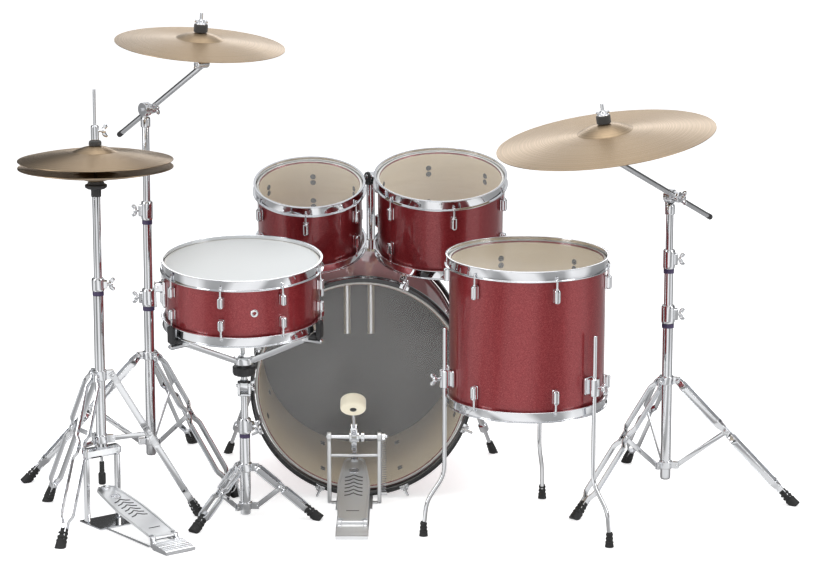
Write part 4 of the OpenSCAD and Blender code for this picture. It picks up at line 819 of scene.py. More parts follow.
def bass_metal():
    """Claws over the hoops with T-handled rods, and a bullet lug for each."""
    claws, lugs = [], []
    rod_r = HOOP_OUT + 0.0046
    hook = np.array([[HOOP_OUT - 0.008, END + 0.0002], [HOOP_OUT - 0.008, END + 0.0028],
        [HOOP_OUT + 0.0024, END + 0.0028], [HOOP_OUT + 0.0028, END + 0.001],
        [HOOP_OUT + 0.0028, END - 0.016], [HOOP_OUT + 0.0002, END - 0.016],
        [HOOP_OUT + 0.0002, END + 0.0002]])
    y = np.linspace(-1, 1, 9)
    k = 1 - 0.12 * np.abs(y) ** 3
    loop = round_corners(hook, 0.001)
    grid = np.stack([loop[None, :, 0] + 0 * y[:, None], (y * 0.011)[:, None] + 0 * loop[None, :, 0],
        loop[None, :, 1] * k[:, None] + END * (1 - k[:, None])], -1)
    cap0, cap1 = grid[:1] * 0 + grid[:1].mean(1,
        keepdims=True), grid[-1:] * 0 + grid[-1:].mean(1, keepdims=True)
    hookg = np.concatenate([cap0, grid, cap1])
    one = [(hookg, 0), (block([rod_r, 0, END - 0.010], [0.0085, 0.0138, 0.0115], 0.002), 0),
        (rod([rod_r, 0, END - PROUD - 0.074], [rod_r, 0, END + 0.011], 0.003, 16), 0),
        (rod([rod_r - 0.014, 0, END + 0.012], [rod_r + 0.014, 0, END + 0.012], 0.0034, 16, 0.0012), 0)]
    s = np.linspace(0, 1, 20)
    taper = 0.70 + 0.30 * np.minimum(1, np.minimum(s, 1 - s) * 6) ** 0.5
    z0 = BL / 2 - 0.109
    path = np.stack([np.full(20, BR + 0.0125), np.zeros(20), z0 + 0.034 * s], 1)
    sec = round_corners([[-0.008, -0.0115], [0.008, -0.0115], [0.008, 0.0055], [0.004, 0.0100],
        [-0.004, 0.0100], [-0.008, 0.0055]], 0.0025)
    lug = sweep(path, sec, up=(1, 0, 0), bevel=0.001, taper=taper)
    for turn in CLAW_TURNS:
        for P, m in one:
            claws += [(placed(spun(P, turn), B), m), (placed(spun(flipped(P), turn), B), m)]
        lugs += [(placed(spun(lug, turn), B), 0), (placed(spun(flipped(lug), turn), B), 0)]
    return claws, lugs


claws, lugs = bass_metal()
piece("bass_claws_and_rods", claws, [chrome], "bass_claws")
hub = solid_turned([BR - 0.002, 0, END - 0.330], [1, 0, 0],
    [[0, 0.0205], [0.016, 0.0205], [0.020, 0.018]], 0.0012, 40)
for side in (195, -15):
    lugs.append((placed(spun(hub, side), B), 0))
piece("bass_lugs_and_spur_hubs", lugs, [chrome], "bass_lugs")


# ---------------------------------------------------------------- cymbals

def cymbal(name, node, place, r, rise, bell_r, bell_h, hole=0.0065, thick=0.0014):
    """Height of the top at radius x: a bow outside the bell, then the bell's dome; the underside
    is the same curve a thickness lower."""
    x = np.concatenate([np.linspace(r, bell_r, 44),
        bell_r - (bell_r - hole) * np.linspace(0, 1, 22)[1:] ** 1.2])
    bow = (rise - bell_h) * (1 - (np.maximum(x - bell_r, 0) / (r - bell_r)) ** 1.6) + thick
    dome = rise - bell_h + thick + (bell_h - thick) * (1
        - (np.minimum(x, bell_r) / bell_r) ** 2.3) ** 1.2
    top = np.where(x > bell_r, bow, dome)
    loop = np.concatenate([np.stack([x, top], 1), np.stack([x, top - thick], 1)[::-1]])
    loop = np.concatenate([loop, loop[:1]])[::-1]
    return piece(name, [(placed(turned_profile(loop, 160), place), 0)], [cymbal_metal], node, angle=50)


def axis_place(p, axis, flip=1):
    """Placement whose z axis is the given direction."""
    z = unit(axis)
    x = unit(np.cross([0, 1, 0], z))
    T = np.eye(4)
    T[:3, 0], T[:3, 1], T[:3, 2], T[:3, 3] = x, np.cross(z, x), z * flip, p
    return T


crash_p, crash_n = np.array(joints["crash_spin"]["pos_m"]), unit(joints["crash_spin"]["axis"])
ride_p, ride_n = np.array(joints["ride_spin"]["pos_m"]), unit(joints["ride_spin"]["axis"])
cymbal("crash_plate", "crash_cymbal", axis_place(crash_p, crash_n), 0.203, 0.030, 0.058, 0.016)
cymbal("ride_plate", "ride_cymbal", axis_place(ride_p, ride_n), 0.254, 0.038, 0.066, 0.020)
hat_lo, hat_hi = (np.array(v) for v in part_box("hihat_top_cymbal"))
low_lo, low_hi = (np.array(v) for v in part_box("hihat_bottom_cymbal"))
hat = (hat_lo + hat_hi) / 2
hat_x, hat_y = hat[0], hat[1]
cymbal("hihat_top_plate", "hihat_top_cymbal", axis_place([hat_x, hat_y, hat_lo[2]], [0, 0, 1]), 0.178,
    0.034, 0.052, 0.015)
cymbal("hihat_bottom_plate", "hihat_bottom_cymbal",
    axis_place([hat_x, hat_y, low_hi[2]], [0, 0, 1], -1), 0.178, 0.034, 0.052, 0.015)


# ---------------------------------------------------------------- stands

UP = np.array([0, 0, 1.0])
BASE_R, UPPER_R = 0.0125, 0.009


def collar(x, y, z, h, r, tube, turn, out, ring=True):
    """Split height clamp: body, hinge barrel, wing bolt, and the coloured ring under it."""
    a = math.radians(turn)
    d = np.array([math.cos(a), math.sin(a), 0])
    c = np.array([x, y, z])
    out.append((bored_turned(c, UP, tube, [[0, r * 0.93], [h * 0.12, r], [h * 0.88, r], [h, r * 0.93]],
        0.001, 36), 0))
    out.append((block(c + UP * h / 2 + d * r * 0.9, [r * 1.05, r * 1.1, h * 0.62], 0.002,
        np.stack([d, np.cross(UP, d), UP])), 0))
    out += marked(wing_bolt(c + UP * h / 2 + d * r, d, 0.018, 0.030, across=UP))
    if ring:
        out.append((bored_turned(c - UP * 0.011, UP, tube,
            [[0, tube + 0.0035], [0.0105, tube + 0.0035]], 0.0008, 36), 1))


def leg_ring_surfaces(x, y, zc, h, tube, first, out, pair=False, pivot=0.028):
    """Ring on the tube with an ear, or a pair of ears, for each leg."""
    c = np.array([x, y, zc])
    out.append((bored_turned(c - UP * h / 2, UP, tube,
        [[0, tube + 0.0035], [0.0015, tube + 0.004], [h - 0.0015, tube + 0.004], [h, tube + 0.0035]],
        0.0006, 36), 0))
    for i in range(3):
        a = math.radians(first + 120 * i)
        d, s = np.array([math.cos(a), math.sin(a), 0]), np.array([-math.sin(a), math.cos(a), 0])
        for k in ((-1, 1) if pair else (0,)):
            w = 0.0019 if pair else 0.0058
            mid = (tube + 0.002 + pivot + 0.0045) / 2
            out.append((block(c + d * mid + s * k * 0.003,
                [pivot + 0.0045 - tube - 0.002, w, h - 0.001], 0.0008, np.stack([d, s, UP])), 0))


def tripod_points(x, y, zc, zh, rf, deg, pivot=0.028, share=0.43):
    """Top and end of a leg, the joint of its brace, the brace's root, and the outward direction."""
    a = math.radians(deg)
    d = np.array([math.cos(a), math.sin(a), 0])
    c = np.array([x, y, 0.0])
    top, end = c + d * pivot + UP * zc, c + d * (rf - 0.012) + UP * 0.013
    return top, end, top * (1 - share) + end * share, c + d * pivot + UP * zh, d


def bowed(start, end, joint, side, sign, near, far, depth, thick, lift=0.0, c=0.0008):
    """A strip from start to end that bows outwards by far - near in each of its two spans and is
    pinched at its ends and at the joint: offset = near + (far - near) * plateau(s)."""
    s = np.linspace(0, 1, 61)
    j = np.linalg.norm(joint - start) / np.linalg.norm(end - start)
    span = lambda a, b: np.clip(np.minimum(s - a, b - s) / 0.045, 0, 1)
    k = np.maximum(span(0.02, j - 0.03), span(j + 0.03, 0.90))
    k = k * k * (3 - 2 * k)
    off = sign * (near + (far - near) * k + lift)
    path = start + s[:, None] * (end - start) + off[:, None] * side
    return sweep(path, rect(thick, depth, c), up=np.cross(side, unit(end - start)))


def leg_surfaces(x, y, zc, zh, rf, deg, through=True):
    """Two strips with rolled edges, bowed apart; rivets, and a joining block above the foot."""
    top, end, j, _, d = tripod_points(x, y, zc, zh, rf, deg)
    s = np.cross(UP, d)
    t = unit(end - top)
    up = np.cross(s, t)
    wide = 0.0055 + min(0.0085, 0.035 * np.linalg.norm(end - top))
    out = []
    for k in (-1, 1):
        out.append(bowed(top - t * 0.006, end, j, s, k, 0.0055, wide, 0.0150, 0.002))
        for e in (-1, 1):
            edge = up * e * 0.0066
            out.append(bowed(top - t * 0.003 + edge, end - t * 0.004 + edge, j + edge, s, k, 0.0055,
                wide, 0.0020, 0.0030, 0.0008, 0.0005))
        out.append(turned_round(j + s * k * 0.0064, s * k,
            [[0, 0], [0, 0.0062], [0.0018, 0.0056], [0.0032, 0.0026], [0.0034, 0]], 0.0005, 20))
        out.append(turned_round(top + s * k * 0.0064, s * k,
            [[0, 0], [0, 0.0050], [0.0016, 0.0046], [0.0028, 0.0022], [0.0029, 0]], 0.0005, 18))
    out.append(rod(top - s * 0.0062, top + s * 0.0062, 0.0025, 14))
    if through:
        out.append(rod(j - s * 0.0062, j + s * 0.0062, 0.0025, 14))
    out.append(strip(end - t * 0.040, end - t * 0.010, 0.012, 0.0098, s))
    return out


def brace_surfaces(x, y, zc, zh, rf, deg):
    """A single flat strip with rounded ends and its root pin."""
    _, _, j, b, d = tripod_points(x, y, zc, zh, rf, deg)
    s = np.cross(UP, d)
    t = unit(j - b)
    return [strip(b - t * 0.005, j + t * 0.006, 0.012, 0.003, s, c=0.0012),
        rod(b - s * 0.0055, b + s * 0.0055, 0.0025, 14)]


def foot_surfaces(x, y, zc, zh, rf, deg):
    """Ribbed rubber boot along the leg: radius swells in steps towards the floor, flat underneath."""
    top, end, *_ = tripod_points(x, y, zc, zh, rf, deg)
    t = unit(end - top)
    s = np.linspace(0, 1, 61)
    z = -0.030 + 0.052 * s
    steps = 0.0009 * np.sign(np.sin(2 * math.pi * 5.5 * s)) * (s > 0.08) * (s < 0.62)
    rr = 0.0092 + 0.0040 * s ** 0.8 + steps
    rr[0] = rr[-1] = 0
    rr[-2] *= 0.9
    P = turned(end, t, np.stack([z, rr], 1), 32)
    P[..., 2] = np.maximum(P[..., 2], 0.0)
    return P


TRIPODS = {"hihat": (hat_x, hat_y, 0.350, 0.198, 0.234, 11.6),
    "snare": (joints["snare_tilt"]["pos_m"][0], joints["snare_tilt"]["pos_m"][1], 0.120, 0.027, 0.175,
        -9.4),
    "crash": (joints["crash_boom_tilt"]["pos_m"][0], joints["crash_boom_tilt"]["pos_m"][1], 0.302,
        0.084, 0.316, 75.7),
    "ride": (joints["ride_boom_tilt"]["pos_m"][0], joints["ride_boom_tilt"]["pos_m"][1], 0.285, 0.076,
        0.316, 102.7),}
legs, braces, feet = [], [], []
for which in ("hihat", "snare", "crash"):
    *plan, first = TRIPODS[which]
    for i in range(3):
        legs += marked(leg_surfaces(*plan, first + 120 * i))
        braces += marked(brace_surfaces(*plan, first + 120 * i))
        feet.append((foot_surfaces(*plan, first + 120 * i), 0))
for p in floor_feet:
    s = np.linspace(0, 1, 41)
    rr = 0.0075 + 0.0030 * (1 - s) ** 2 + 0.0007 * np.sign(np.sin(2 * math.pi * 4 * s)) * (s > 0.3)
    rr[0] = rr[-1] = 0
    feet.append((turned([p[0], p[1], 0.0], UP, np.stack([0.036 * s, rr], 1), 28), 0))
piece("tripod_leg_strips", legs, [chrome], "tripod_legs")
piece("tripod_brace_strips", braces, [chrome], "tripod_braces")
piece("rubber_boots", feet, [rubber], "rubber_feet")
*plan, first = TRIPODS["ride"]
for i in range(3):
    leg = marked(leg_surfaces(*plan, first + 120 * i, through=False))
    leg.append((foot_surfaces(*plan, first + 120 * i), 1))
    piece(f"ride_folding_leg_{i + 1}", leg, [chrome, rubber], f"ride_leg_{i + 1}")
    piece(f"ride_folding_brace_{i + 1}", marked(brace_surfaces(*plan, first + 120 * i)), [chrome],
        f"ride_brace_{i + 1}")
out = []
leg_ring_surfaces(plan[0], plan[1], plan[2], 0.020, 0.01256, first, out)
piece("ride_sliding_collar", out, [chrome], "ride_leg_collar")


def boom_base(which, node, z2, z1, turn, ring):
    """Base tube, middle tube and two clamps of a boom stand."""
    x, y, zc, zh, _, first = TRIPODS[which]
    out = [(turned_round([x, y, zh - 0.034], UP,
        [[0, 0], [0, 0.0120], [0.003, BASE_R], [z2 - zh + 0.034, BASE_R], [z2 - zh + 0.034, 0.0095]],
        0.0008, 40), 0),
        (turned([x, y, z2], UP, [[0, 0.011], [z1 - z2, 0.011]], 40), 0)]
    collar(x, y, z2, 0.044, 0.0165, 0.0112, turn, out)
    collar(x, y, z1, 0.046, 0.0145, 0.0092, turn, out)
    if ring:
        leg_ring_surfaces(x, y, zc, 0.020, BASE_R, first, out)
    leg_ring_surfaces(x, y, zh, 0.018, BASE_R, first, out, pair=True)
    out.append((solid_turned([x, y, zh - 0.036], UP, [[0, 0.0105], [0.006, 0.0118]], 0.001, 32), 2))
    piece(which + "_stand_tubes", out, [chrome, purple, black_plastic], node)


boom_base("crash", "crash_base", 0.426, 0.642, 180, True)
boom_base("ride", "ride_base", 0.425, 0.558, 0, False)


def boom(which, spin, tilt, post, arm, low, tail, rise, reach=0.048):
    """Upper tube and ratchet; boom with its tilter, stud, sleeve, felts and wing nut."""
    p = np.array(joints[tilt]["pos_m"])
    h = unit(joints[tilt]["axis"])
    c, n = np.array(joints[spin]["pos_m"]), unit(joints[spin]["axis"])
    e = c - n * reach
    x, y, z = p
    tube_top = z - 0.019
    out = [(solid_turned([x, y, low], UP, [[0, 0.0085], [0.001, 0.009], [tube_top - low, UPPER_R]],
        0.0005, 36), 0),
        (turned_round([x, y, z - 0.044], UP,
            [[0, 0.009], [0, 0.011], [0.002, 0.012], [0.021, 0.012], [0.025, 0.0105], [0.025, 0.0]],
            0.0008, 36), 0),
        (block(p - h * 0.0053 - UP * 0.017, [0.0090, 0.0155, 0.026], 0.002,
            np.stack([h, np.cross(UP, h), UP])), 0)]
    teeth = 0.0170 - 0.0005 * (np.arange(2 * 36 + 1) % 2)
    a = np.linspace(0, 2 * math.pi, 2 * 36 + 1)
    s1, s2 = basis(h)
    halves = []
    for lo_h, hi_h in ((-0.0100, -0.0006), (0.0004, 0.0100)):
        ring = teeth[:, None] * (np.cos(a)[:, None] * s1 + np.sin(a)[:, None] * s2)
        rows = np.array([[lo_h, 0], [lo_h, 0.93], [lo_h + 0.001, 1], [hi_h - 0.001, 1], [hi_h, 0.93],
            [hi_h, 0]])
        halves.append(p + rows[:, 0, None, None] * h + rows[:, 1, None, None] * ring[None])
    out += [(halves[0], 0), (rod(p - h * 0.015, p + h * 0.041, 0.004, 20), 0)]
    out += marked(wing_bolt(p + h * 0.032, h, 0.010, 0.034, across=UP))
    piece(which + "_upper_tube", out, [chrome], post)
    o = h * 0.018
    d = unit(e - p)
    out = [(halves[1], 0),
        (solid_turned(p + h * 0.009, h, [[0, 0.0125], [0.002, 0.013], [0.018, 0.013], [0.020, 0.0118]],
            0.001, 36), 0),
        (rod(p + o - d * tail, e + o, 0.0065, 28), 0),
        (solid_turned(p + o - d * (tail + 0.001), d,
            [[0, 0.0060], [0.002, 0.0069], [0.016, 0.0069], [0.018, 0.0064]], 0.0006, 28), 1),
        (solid_turned(e - h * 0.008, h,
            [[0, 0.0094], [0.0015, 0.010], [0.0335, 0.010], [0.035, 0.0094]], 0.0008, 32), 0)]
    out += marked(wing_bolt(e - h * 0.006, -h, 0.004, 0.018, across=n, r=0.003))
    under = rise - 0.0014 - 0.001
    out += [(solid_turned(e, n,
        [[0, 0.0068], [reach + under - 0.012, 0.0068], [reach + under - 0.010, 0.0052]], 0.0008, 28),
        0),
        (solid_turned(c + n * (under - 0.0105), n, [[0, 0.0125], [0.0022, 0.0135]], 0.0006, 32), 0),
        (solid_turned(c + n * (under - 0.008), n,
            [[0, 0.0155], [0.0015, 0.0165], [0.0065, 0.0165], [0.0078, 0.0150]], 0.0012, 32), 2),
        (solid_turned(c + n * (under - 0.004), n, [[0, 0.0063], [0.026, 0.0063]], 0.0004, 24), 1),
        (solid_turned(c + n * (rise + 0.0012), n,
            [[0, 0.0160], [0.0015, 0.0168], [0.0165, 0.0168], [0.0185, 0.0155]], 0.0012, 40), 2),
        (solid_turned(c + n * (rise + 0.010), n, [[0, 0.0038], [0.037, 0.0038], [0.038, 0.003]], 0.0004,
            20), 0),
        (solid_turned(c + n * (rise + 0.0198), n,
            [[0, 0.0150], [0.002, 0.0152], [0.004, 0.0085], [0.0095, 0.006], [0.0115, 0.0045]], 0.0008,
            24), 0)]
    w = unit(np.cross(n, [0, 1, 0]))
    for s in (-1, 1):
        out.append((blob(c + n * (rise + 0.0262) + w * s * 0.0100, (0.0020, 0.0062, 0.0050),
            np.stack([np.cross(n, w), w, n]), 10), 0))
    piece(which + "_boom_arm", out, [chrome, black_plastic, felt], arm)


boom("crash", "crash_spin", "crash_boom_tilt", "crash_post", "crash_boom", 0.492, 0.142, 0.030)
boom("ride", "ride_spin", "ride_boom_tilt", "ride_post", "ride_boom", 0.448, 0.160, 0.038)

# snare stand
x, y, zc, zh, rf, first = TRIPODS["snare"]
out = [(turned_round([x, y, 0.006], UP,
    [[0, 0], [0, 0.0120], [0.002, BASE_R], [0.196, BASE_R], [0.196, 0.0095]], 0.0008, 40), 0)]
collar(x, y, 0.202, 0.036, 0.0155, 0.0092, -20, out)
leg_ring_surfaces(x, y, zc, 0.020, BASE_R, first, out)
leg_ring_surfaces(x, y, zh, 0.017, BASE_R, first, out, pair=True)
piece("snare_stand_base", out, [chrome, purple], "snare_base")
pz = joints["snare_tilt"]["pos_m"][2]
out = [(solid_turned([x, y, 0.087], UP, [[0, 0.0085], [0.001, 0.009], [pz - 0.0225 - 0.087, UPPER_R]],
    0.0005, 36), 0),
    (block([x, y, pz - 0.021], [0.0305, 0.0255, 0.0058], 0.002), 0)]
for s in (-1, 1):
    out += [(block([x + s * 0.0125, y, pz - 0.010], [0.0058, 0.0255, 0.020], 0.0015), 0),
        (solid_turned([x + s * 0.0096, y, pz], [s, 0, 0], [[0, 0.0128], [0.0058, 0.0128]], 0.0008, 36),
            0)]
out.append((rod([x - 0.019, y, pz], [x + 0.019, y, pz], 0.004, 20), 0))
out += marked(wing_bolt([x + 0.0155, y, pz], [1, 0, 0], 0.004, 0.024, across=UP))
piece("snare_stand_tube", out, [chrome], "snare_post")


def basket():
    """Hub with a black knob and three round-edged arms; black grips hold the lower hoop."""
    T, r, L, _ = drums["snare"]
    n = T[:3, 2]
    pin = np.array(joints["snare_tilt"]["pos_m"])
    q = np.eye(4)
    q[:3, :3], q[:3, 3] = T[:3, :3], pin
    bottom = float((T[:3, 3] - pin) @ n) - L / 2 - RIM
    hub = bottom - 0.092
    out = [(solid_turned([0, 0, 0.016], UP, [[0, 0.0078], [hub - 0.024, 0.0078]], 0.0005, 28), 0),
        (bored_turned([-0.009, 0, 0], [1, 0, 0], 0.0042, [[0, 0.0158], [0.018, 0.0158]], 0.001, 36), 0),
        (solid_turned([0, 0, hub - 0.008], UP,
            [[0, 0.0225], [0.002, 0.0238], [0.015, 0.0238], [0.018, 0.022]], 0.001, 40), 0)]
    s = np.linspace(0, 2 * math.pi, 97)
    grip = 0.0262 + 0.0007 * np.cos(12 * s)
    rows = np.array([[0, 0], [0, 0.93], [0.002, 1], [0.018, 1], [0.020, 0.93], [0.020, 0]])
    G = np.stack([rows[:, 1, None] * grip * np.cos(s), rows[:, 1, None] * grip * np.sin(s),
        rows[:, 0, None] + 0 * s], -1) + np.array([0, 0, hub - 0.034])
    out.append((G, 1))
    reach = r + 0.011 + 0.0004
    for i in range(3):
        a = 97 + 120 * i
        arm = [(strip([0.018, 0, hub], [reach - 0.034, 0, bottom - 0.022], 0.0138, 0.0098, [0, 1, 0],
            c=0.003), 0),
            (block([reach - 0.012, 0, bottom - 0.0205], [0.0490, 0.0155, 0.0108], 0.003), 0),
            (block([reach + 0.006, 0, bottom + 0.008], [0.0118, 0.0215, 0.0435], 0.004), 1),
            (block([reach - 0.012, 0, bottom - 0.0075], [0.0250, 0.0215, 0.0130], 0.004), 1)]
        out += [(spun(P, a), m) for P, m in arm]
    piece("snare_basket_arms", [(placed(P, q), m) for P, m in out], [chrome, black_plastic],
        "snare_basket")


basket()


def heel_bearing(x, y, z):
    """Barrel that holds the heel pin, on a block behind and below it."""
    return [bored_turned([x - 0.005, y, z], [1, 0, 0], 0.0032, [[0, 0.0062], [0.010, 0.0062]], 0.0008,
        28),
        block([x, y - 0.004, z - 0.012], [0.0098, 0.0170, 0.0185], 0.002)]


# hi-hat stand: yoke, posts, base tube and clamp; the heel plate and rods stay with them
H = np.eye(4)
heel = np.array(joints["hihat_pedal_press"]["pos_m"])
hx = unit(joints["hihat_pedal_press"]["axis"])
H[:3, 0], H[:3, 1], H[:3, 2] = hx, np.cross(UP, hx), UP
H[:3, 3] = [hat_x, hat_y, 0]
heel_y, heel_z = float((heel - H[:3, 3]) @ H[:3, 1]), heel[2]
x, y, zc, zh, rf, first = TRIPODS["hihat"]
out = []
local = [block([0, 0, 0.168], [0.0955, 0.0255, 0.0235], 0.005),
    turned_round([0, 0, 0.180], UP,
        [[0, 0.0095], [0, 0.015], [0.010, 0.0125], [0.012, 0.012], [0.369, 0.012], [0.369, 0.0098]],
        0.0006, 40),
    block([0, -0.022, 0.002], [0.0995, 0.0955, 0.0038], 0.0015)]
for s in (-1, 1):
    local += [block([s * 0.042, 0, 0.081], [0.0098, 0.0155, 0.154], 0.003),
        rod([s * 0.036, -0.068, 0.0045], [s * 0.036, heel_y + 0.006, 0.0045], 0.0027, 16),
        *heel_bearing(s * 0.030, heel_y, heel_z)]


def heel_plate(y_back, y_front, w, h_front, h_back):
    """Wedge whose top falls towards the heel, with rounded edges and shallow cross ribs."""
    ys = np.linspace(y_back, y_front, 41)
    f = (ys - y_back) / (y_front - y_back)
    hgt = h_back + (h_front - h_back) * f + 0.0007 * (np.sin(2 * math.pi * 7
        * f) > 0.2) * (f > 0.1) * (f < 0.9)
    xs = rect(w, 1.0, 0.06)
    P = np.stack([xs[None, :, 0] + 0 * ys[:, None], ys[:, None] + 0 * xs[None, :, 0],
        (xs[None, :, 1] + 0.5) * hgt[:, None]], -1)
    ends = lambda row: row * 0 + row.mean(1, keepdims=True)
    return np.concatenate([ends(P[:1]), P, ends(P[-1:])])


local.append(heel_plate(heel_y - 0.070, heel_y - 0.012, 0.078, 0.0165, 0.0085))
out += [(placed(P, H), 0) for P in local]
collar(x, y, 0.549, 0.030, 0.0150, 0.0097, 8, out)
leg_ring_surfaces(x, y, zc, 0.024, 0.0120, first, out)
leg_ring_surfaces(x, y, zh, 0.020, 0.0120, first, out, pair=True)
piece("hihat_stand_base", out, [chrome, purple], "hihat_base")
top = low_lo[2]
out = [(bored_turned([x, y, 0.439], UP, 0.006,
    [[0, 0.009], [0.001, 0.0095], [top - 0.017 - 0.439, 0.0095]], 0.0005, 36), 0),
    (bored_turned([x, y, top - 0.035], UP, 0.0095, [[0, 0.0115], [0.018, 0.0119]], 0.001, 36), 1),
    (bored_turned([x, y, top - 0.0168], UP, 0.0061,
        [[0, 0.020], [0.004, 0.0255], [0.009, 0.0255], [0.0105, 0.024]], 0.001, 40), 1),
    (bored_turned([x, y, top - 0.006], UP, 0.0061, [[0, 0.0195], [0.0045, 0.019], [0.0055, 0.0170]],
        0.001, 36), 2)]
piece("hihat_height_post", out, [chrome, black_plastic, felt], "hihat_post")
rod_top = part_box("hihat_pull_rod")[1][2]
out = [(solid_turned([x, y, 0.110], UP,
    [[0, 0.0035], [rod_top - 0.111, 0.0035], [rod_top - 0.110, 0.003]], 0.0004, 24), 0),
    (solid_turned([x, y, 0.0885], UP,
        [[0, 0.0075], [0.003, 0.0088], [0.026, 0.0088], [0.029, 0.006], [0.055, 0.0058]], 0.001, 32),
        1)]
piece("hihat_pull_rod_and_boot", out, [chrome, black_plastic], "hihat_pull_rod")
bell = hat_hi[2]
out = [(bored_turned([x, y, bell - 0.0174], UP, 0.00355, [[0, 0.0058], [0.029, 0.0058]], 0.0005, 28),
    0),
    (bored_turned([x, y, bell - 0.0098], UP, 0.0058, [[0, 0.0112], [0.0078, 0.0118]], 0.001, 32), 1),
    (bored_turned([x, y, bell + 0.0006], UP, 0.0058,
        [[0, 0.0142], [0.002, 0.0149], [0.0085, 0.0145], [0.0112, 0.0125]], 0.0012, 36), 1),
    (bored_turned([x, y, bell + 0.0122], UP, 0.00355,
        [[0, 0.0085], [0.002, 0.0094], [0.032, 0.0094], [0.0345, 0.0080]], 0.0008, 32), 0)]
aside = np.array([math.cos(math.radians(10)), math.sin(math.radians(10)), 0])
out += marked(wing_bolt(np.array([x, y, bell + 0.034]) + 0.0085 * aside, aside, 0.0155, 0.030,
    across=UP))
piece("hihat_clutch_and_felts", out, [chrome, felt], "hihat_clutch")


# ---------------------------------------------------------------- pedals

def footboard(name, node, joint, toe, w0, w1):
    """Cast board from heel to toe: its outline narrows at the toe, with raised side rails, a heel
    barrel and dark chevron grips laid across it."""
    p = np.array(joints[joint]["pos_m"])
    X = unit(joints[joint]["axis"])
    d = toe - p
    d = d - X * np.dot(d, X)
    length = np.linalg.norm(d)
    Y = d / length
    Z = np.cross(X, Y)
    u = np.linspace(0, 1, 221)[:, None]
    v = np.linspace(-1, 1, 81)[None]
    s = 0.009 + (length - 0.009) * u
    f = s / length
    half = np.where(f < 0.55, w0 + (w1 - w0) * f / 0.55,
        w1 - (w1 - 0.70 * w0) * ((np.maximum(f, 0.55) - 0.55) / 0.45) ** 1.3) / 2
    half = half * (1 - 0.35 * np.clip((f - 0.95) / 0.05, 0, 1) ** 2)
    x = v * half
    rail = 0.0022 * (np.abs(x) > half - 0.006)
    topz = 0.0040 + rail
    topz = np.where(np.abs(v) > 0.995, 0.0030, topz)
    to = lambda xx, ss, zz: p + xx[..., None] * X + ss[..., None] * Y + zz[..., None] * Z
    full = s + 0 * v
    T_ = to(x + 0 * s, full, topz + 0 * full)
    B_ = to(x + 0 * s, full, np.full_like(full, 0.0002))
    rim = np.concatenate([T_, B_[:, ::-1], T_[:, :1]], axis=1)
    ends = lambda row: row * 0 + row.mean(1, keepdims=True)
    board = np.concatenate([ends(rim[:1]), rim, ends(rim[-1:])])
    out = [(board, 0),
        (solid_turned(p - X * 0.0244, X,
            [[0, 0.0046], [0.0008, 0.005], [0.048, 0.005], [0.0488, 0.0046]], 0.0005, 28), 0),
        (rod(p - X * 0.0354, p + X * 0.0354, 0.0029, 18), 1),
        (block(p + Y * 0.0075 + Z * 0.001, [0.0480, 0.0110, 0.0058], 0.0015, np.stack([X, Y, Z])), 0),
        (block(p + Y * (length - 0.006) + Z * 0.0045, [0.018, 0.014, 0.008], 0.002,
            np.stack([X, Y, Z])), 1)]
    disc = solid_turned(p + Y * (length * 0.80) + Z * 0.0038, Z,
        [[0, 0.0125], [0.0016, 0.0120], [0.0020, 0.0105], [0.0014, 0.0098]], 0.0004, 36)
    out.append((disc, 1))
    for k in range(6):
        at = length * (0.40 + 0.058 * k)
        g = 0.30 * w0
        line = np.array([[-g, at], [-0.5 * g, at + 0.16 * g], [0, at + 0.55 * g],
            [0.5 * g, at + 0.16 * g], [g, at]])
        path = p + line[:, :1] * X + line[:, 1:] * Y + Z * 0.0042
        out.append((sweep(path, rect(0.0034, 0.0010, 0.0004), up=Z, bevel=0.0004), 2))
    out.append((block(p + Y * (length * 0.16) + Z * 0.0042, [0.030, 0.0022, 0.0010], 0.0004,
        np.stack([X, Y, Z])), 2))
    piece(name, out, [cast, satin_chrome, black_plastic], node, angle=24)
    return p + Y * length


kick_p = np.array(joints["kick_press"]["pos_m"])
axle = np.array(joints["beater_swing"]["pos_m"])
kick_toe = np.array([kick_p[0], axle[1] + 0.034, 0.097])
footboard("kick_treadle", "kick_footboard", "kick_press", kick_toe, 0.070, 0.078)
hat_toe = H[:3, 3] + H[:3, 1] * -0.008 + UP * 0.080
footboard("hihat_treadle", "hihat_footboard", "hihat_pedal_press", hat_toe, 0.070, 0.076)

kx = kick_p[0]
out = [(block([kx, -0.048, 0.0015], [0.0875, 0.1235, 0.0029], 0.0012), 0)]
for s in (-1, 1):
    out += [(block([kx + s * 0.060, axle[1], axle[2] / 2], [0.0098, 0.0175, axle[2] - 0.001], 0.003),
        0),
        (bored_turned([kx + s * 0.060 - 0.005, axle[1], axle[2]], [1, 0, 0], 0.00508,
            [[0, 0.0112], [0.001, 0.012], [0.009, 0.012], [0.010, 0.0112]], 0.0005, 36), 0),
        (block([kx + s * 0.0490, axle[1], 0.0015], [0.014, 0.0175, 0.0029], 0.0010), 0),
        (rod([kx + s * 0.036, -0.108, 0.0040], [kx + s * 0.036, kick_p[1] + 0.004, 0.0040], 0.0024, 16),
            0),
        *marked(heel_bearing(kx + s * 0.030, kick_p[1], kick_p[2]))]
out += [(rod([kx - 0.056, axle[1], 0.118], [kx + 0.056, axle[1], 0.118], 0.004, 20), 0),
    (block([kx, -0.0073, 0.0115], [0.0295, 0.0092, 0.018], 0.0018), 0),
    (block([kx, -0.0018, 0.0206], [0.0295, 0.0200, 0.0038], 0.0014), 0),
    (block([kx + 0.072, axle[1] - 0.018, 0.029], [0.0138, 0.0118, 0.0058], 0.001), 0),
    (heel_plate(kick_p[1] - 0.066, kick_p[1] - 0.012, 0.076, 0.0162, 0.0085) + np.array([kx, 0, 0]), 0)]
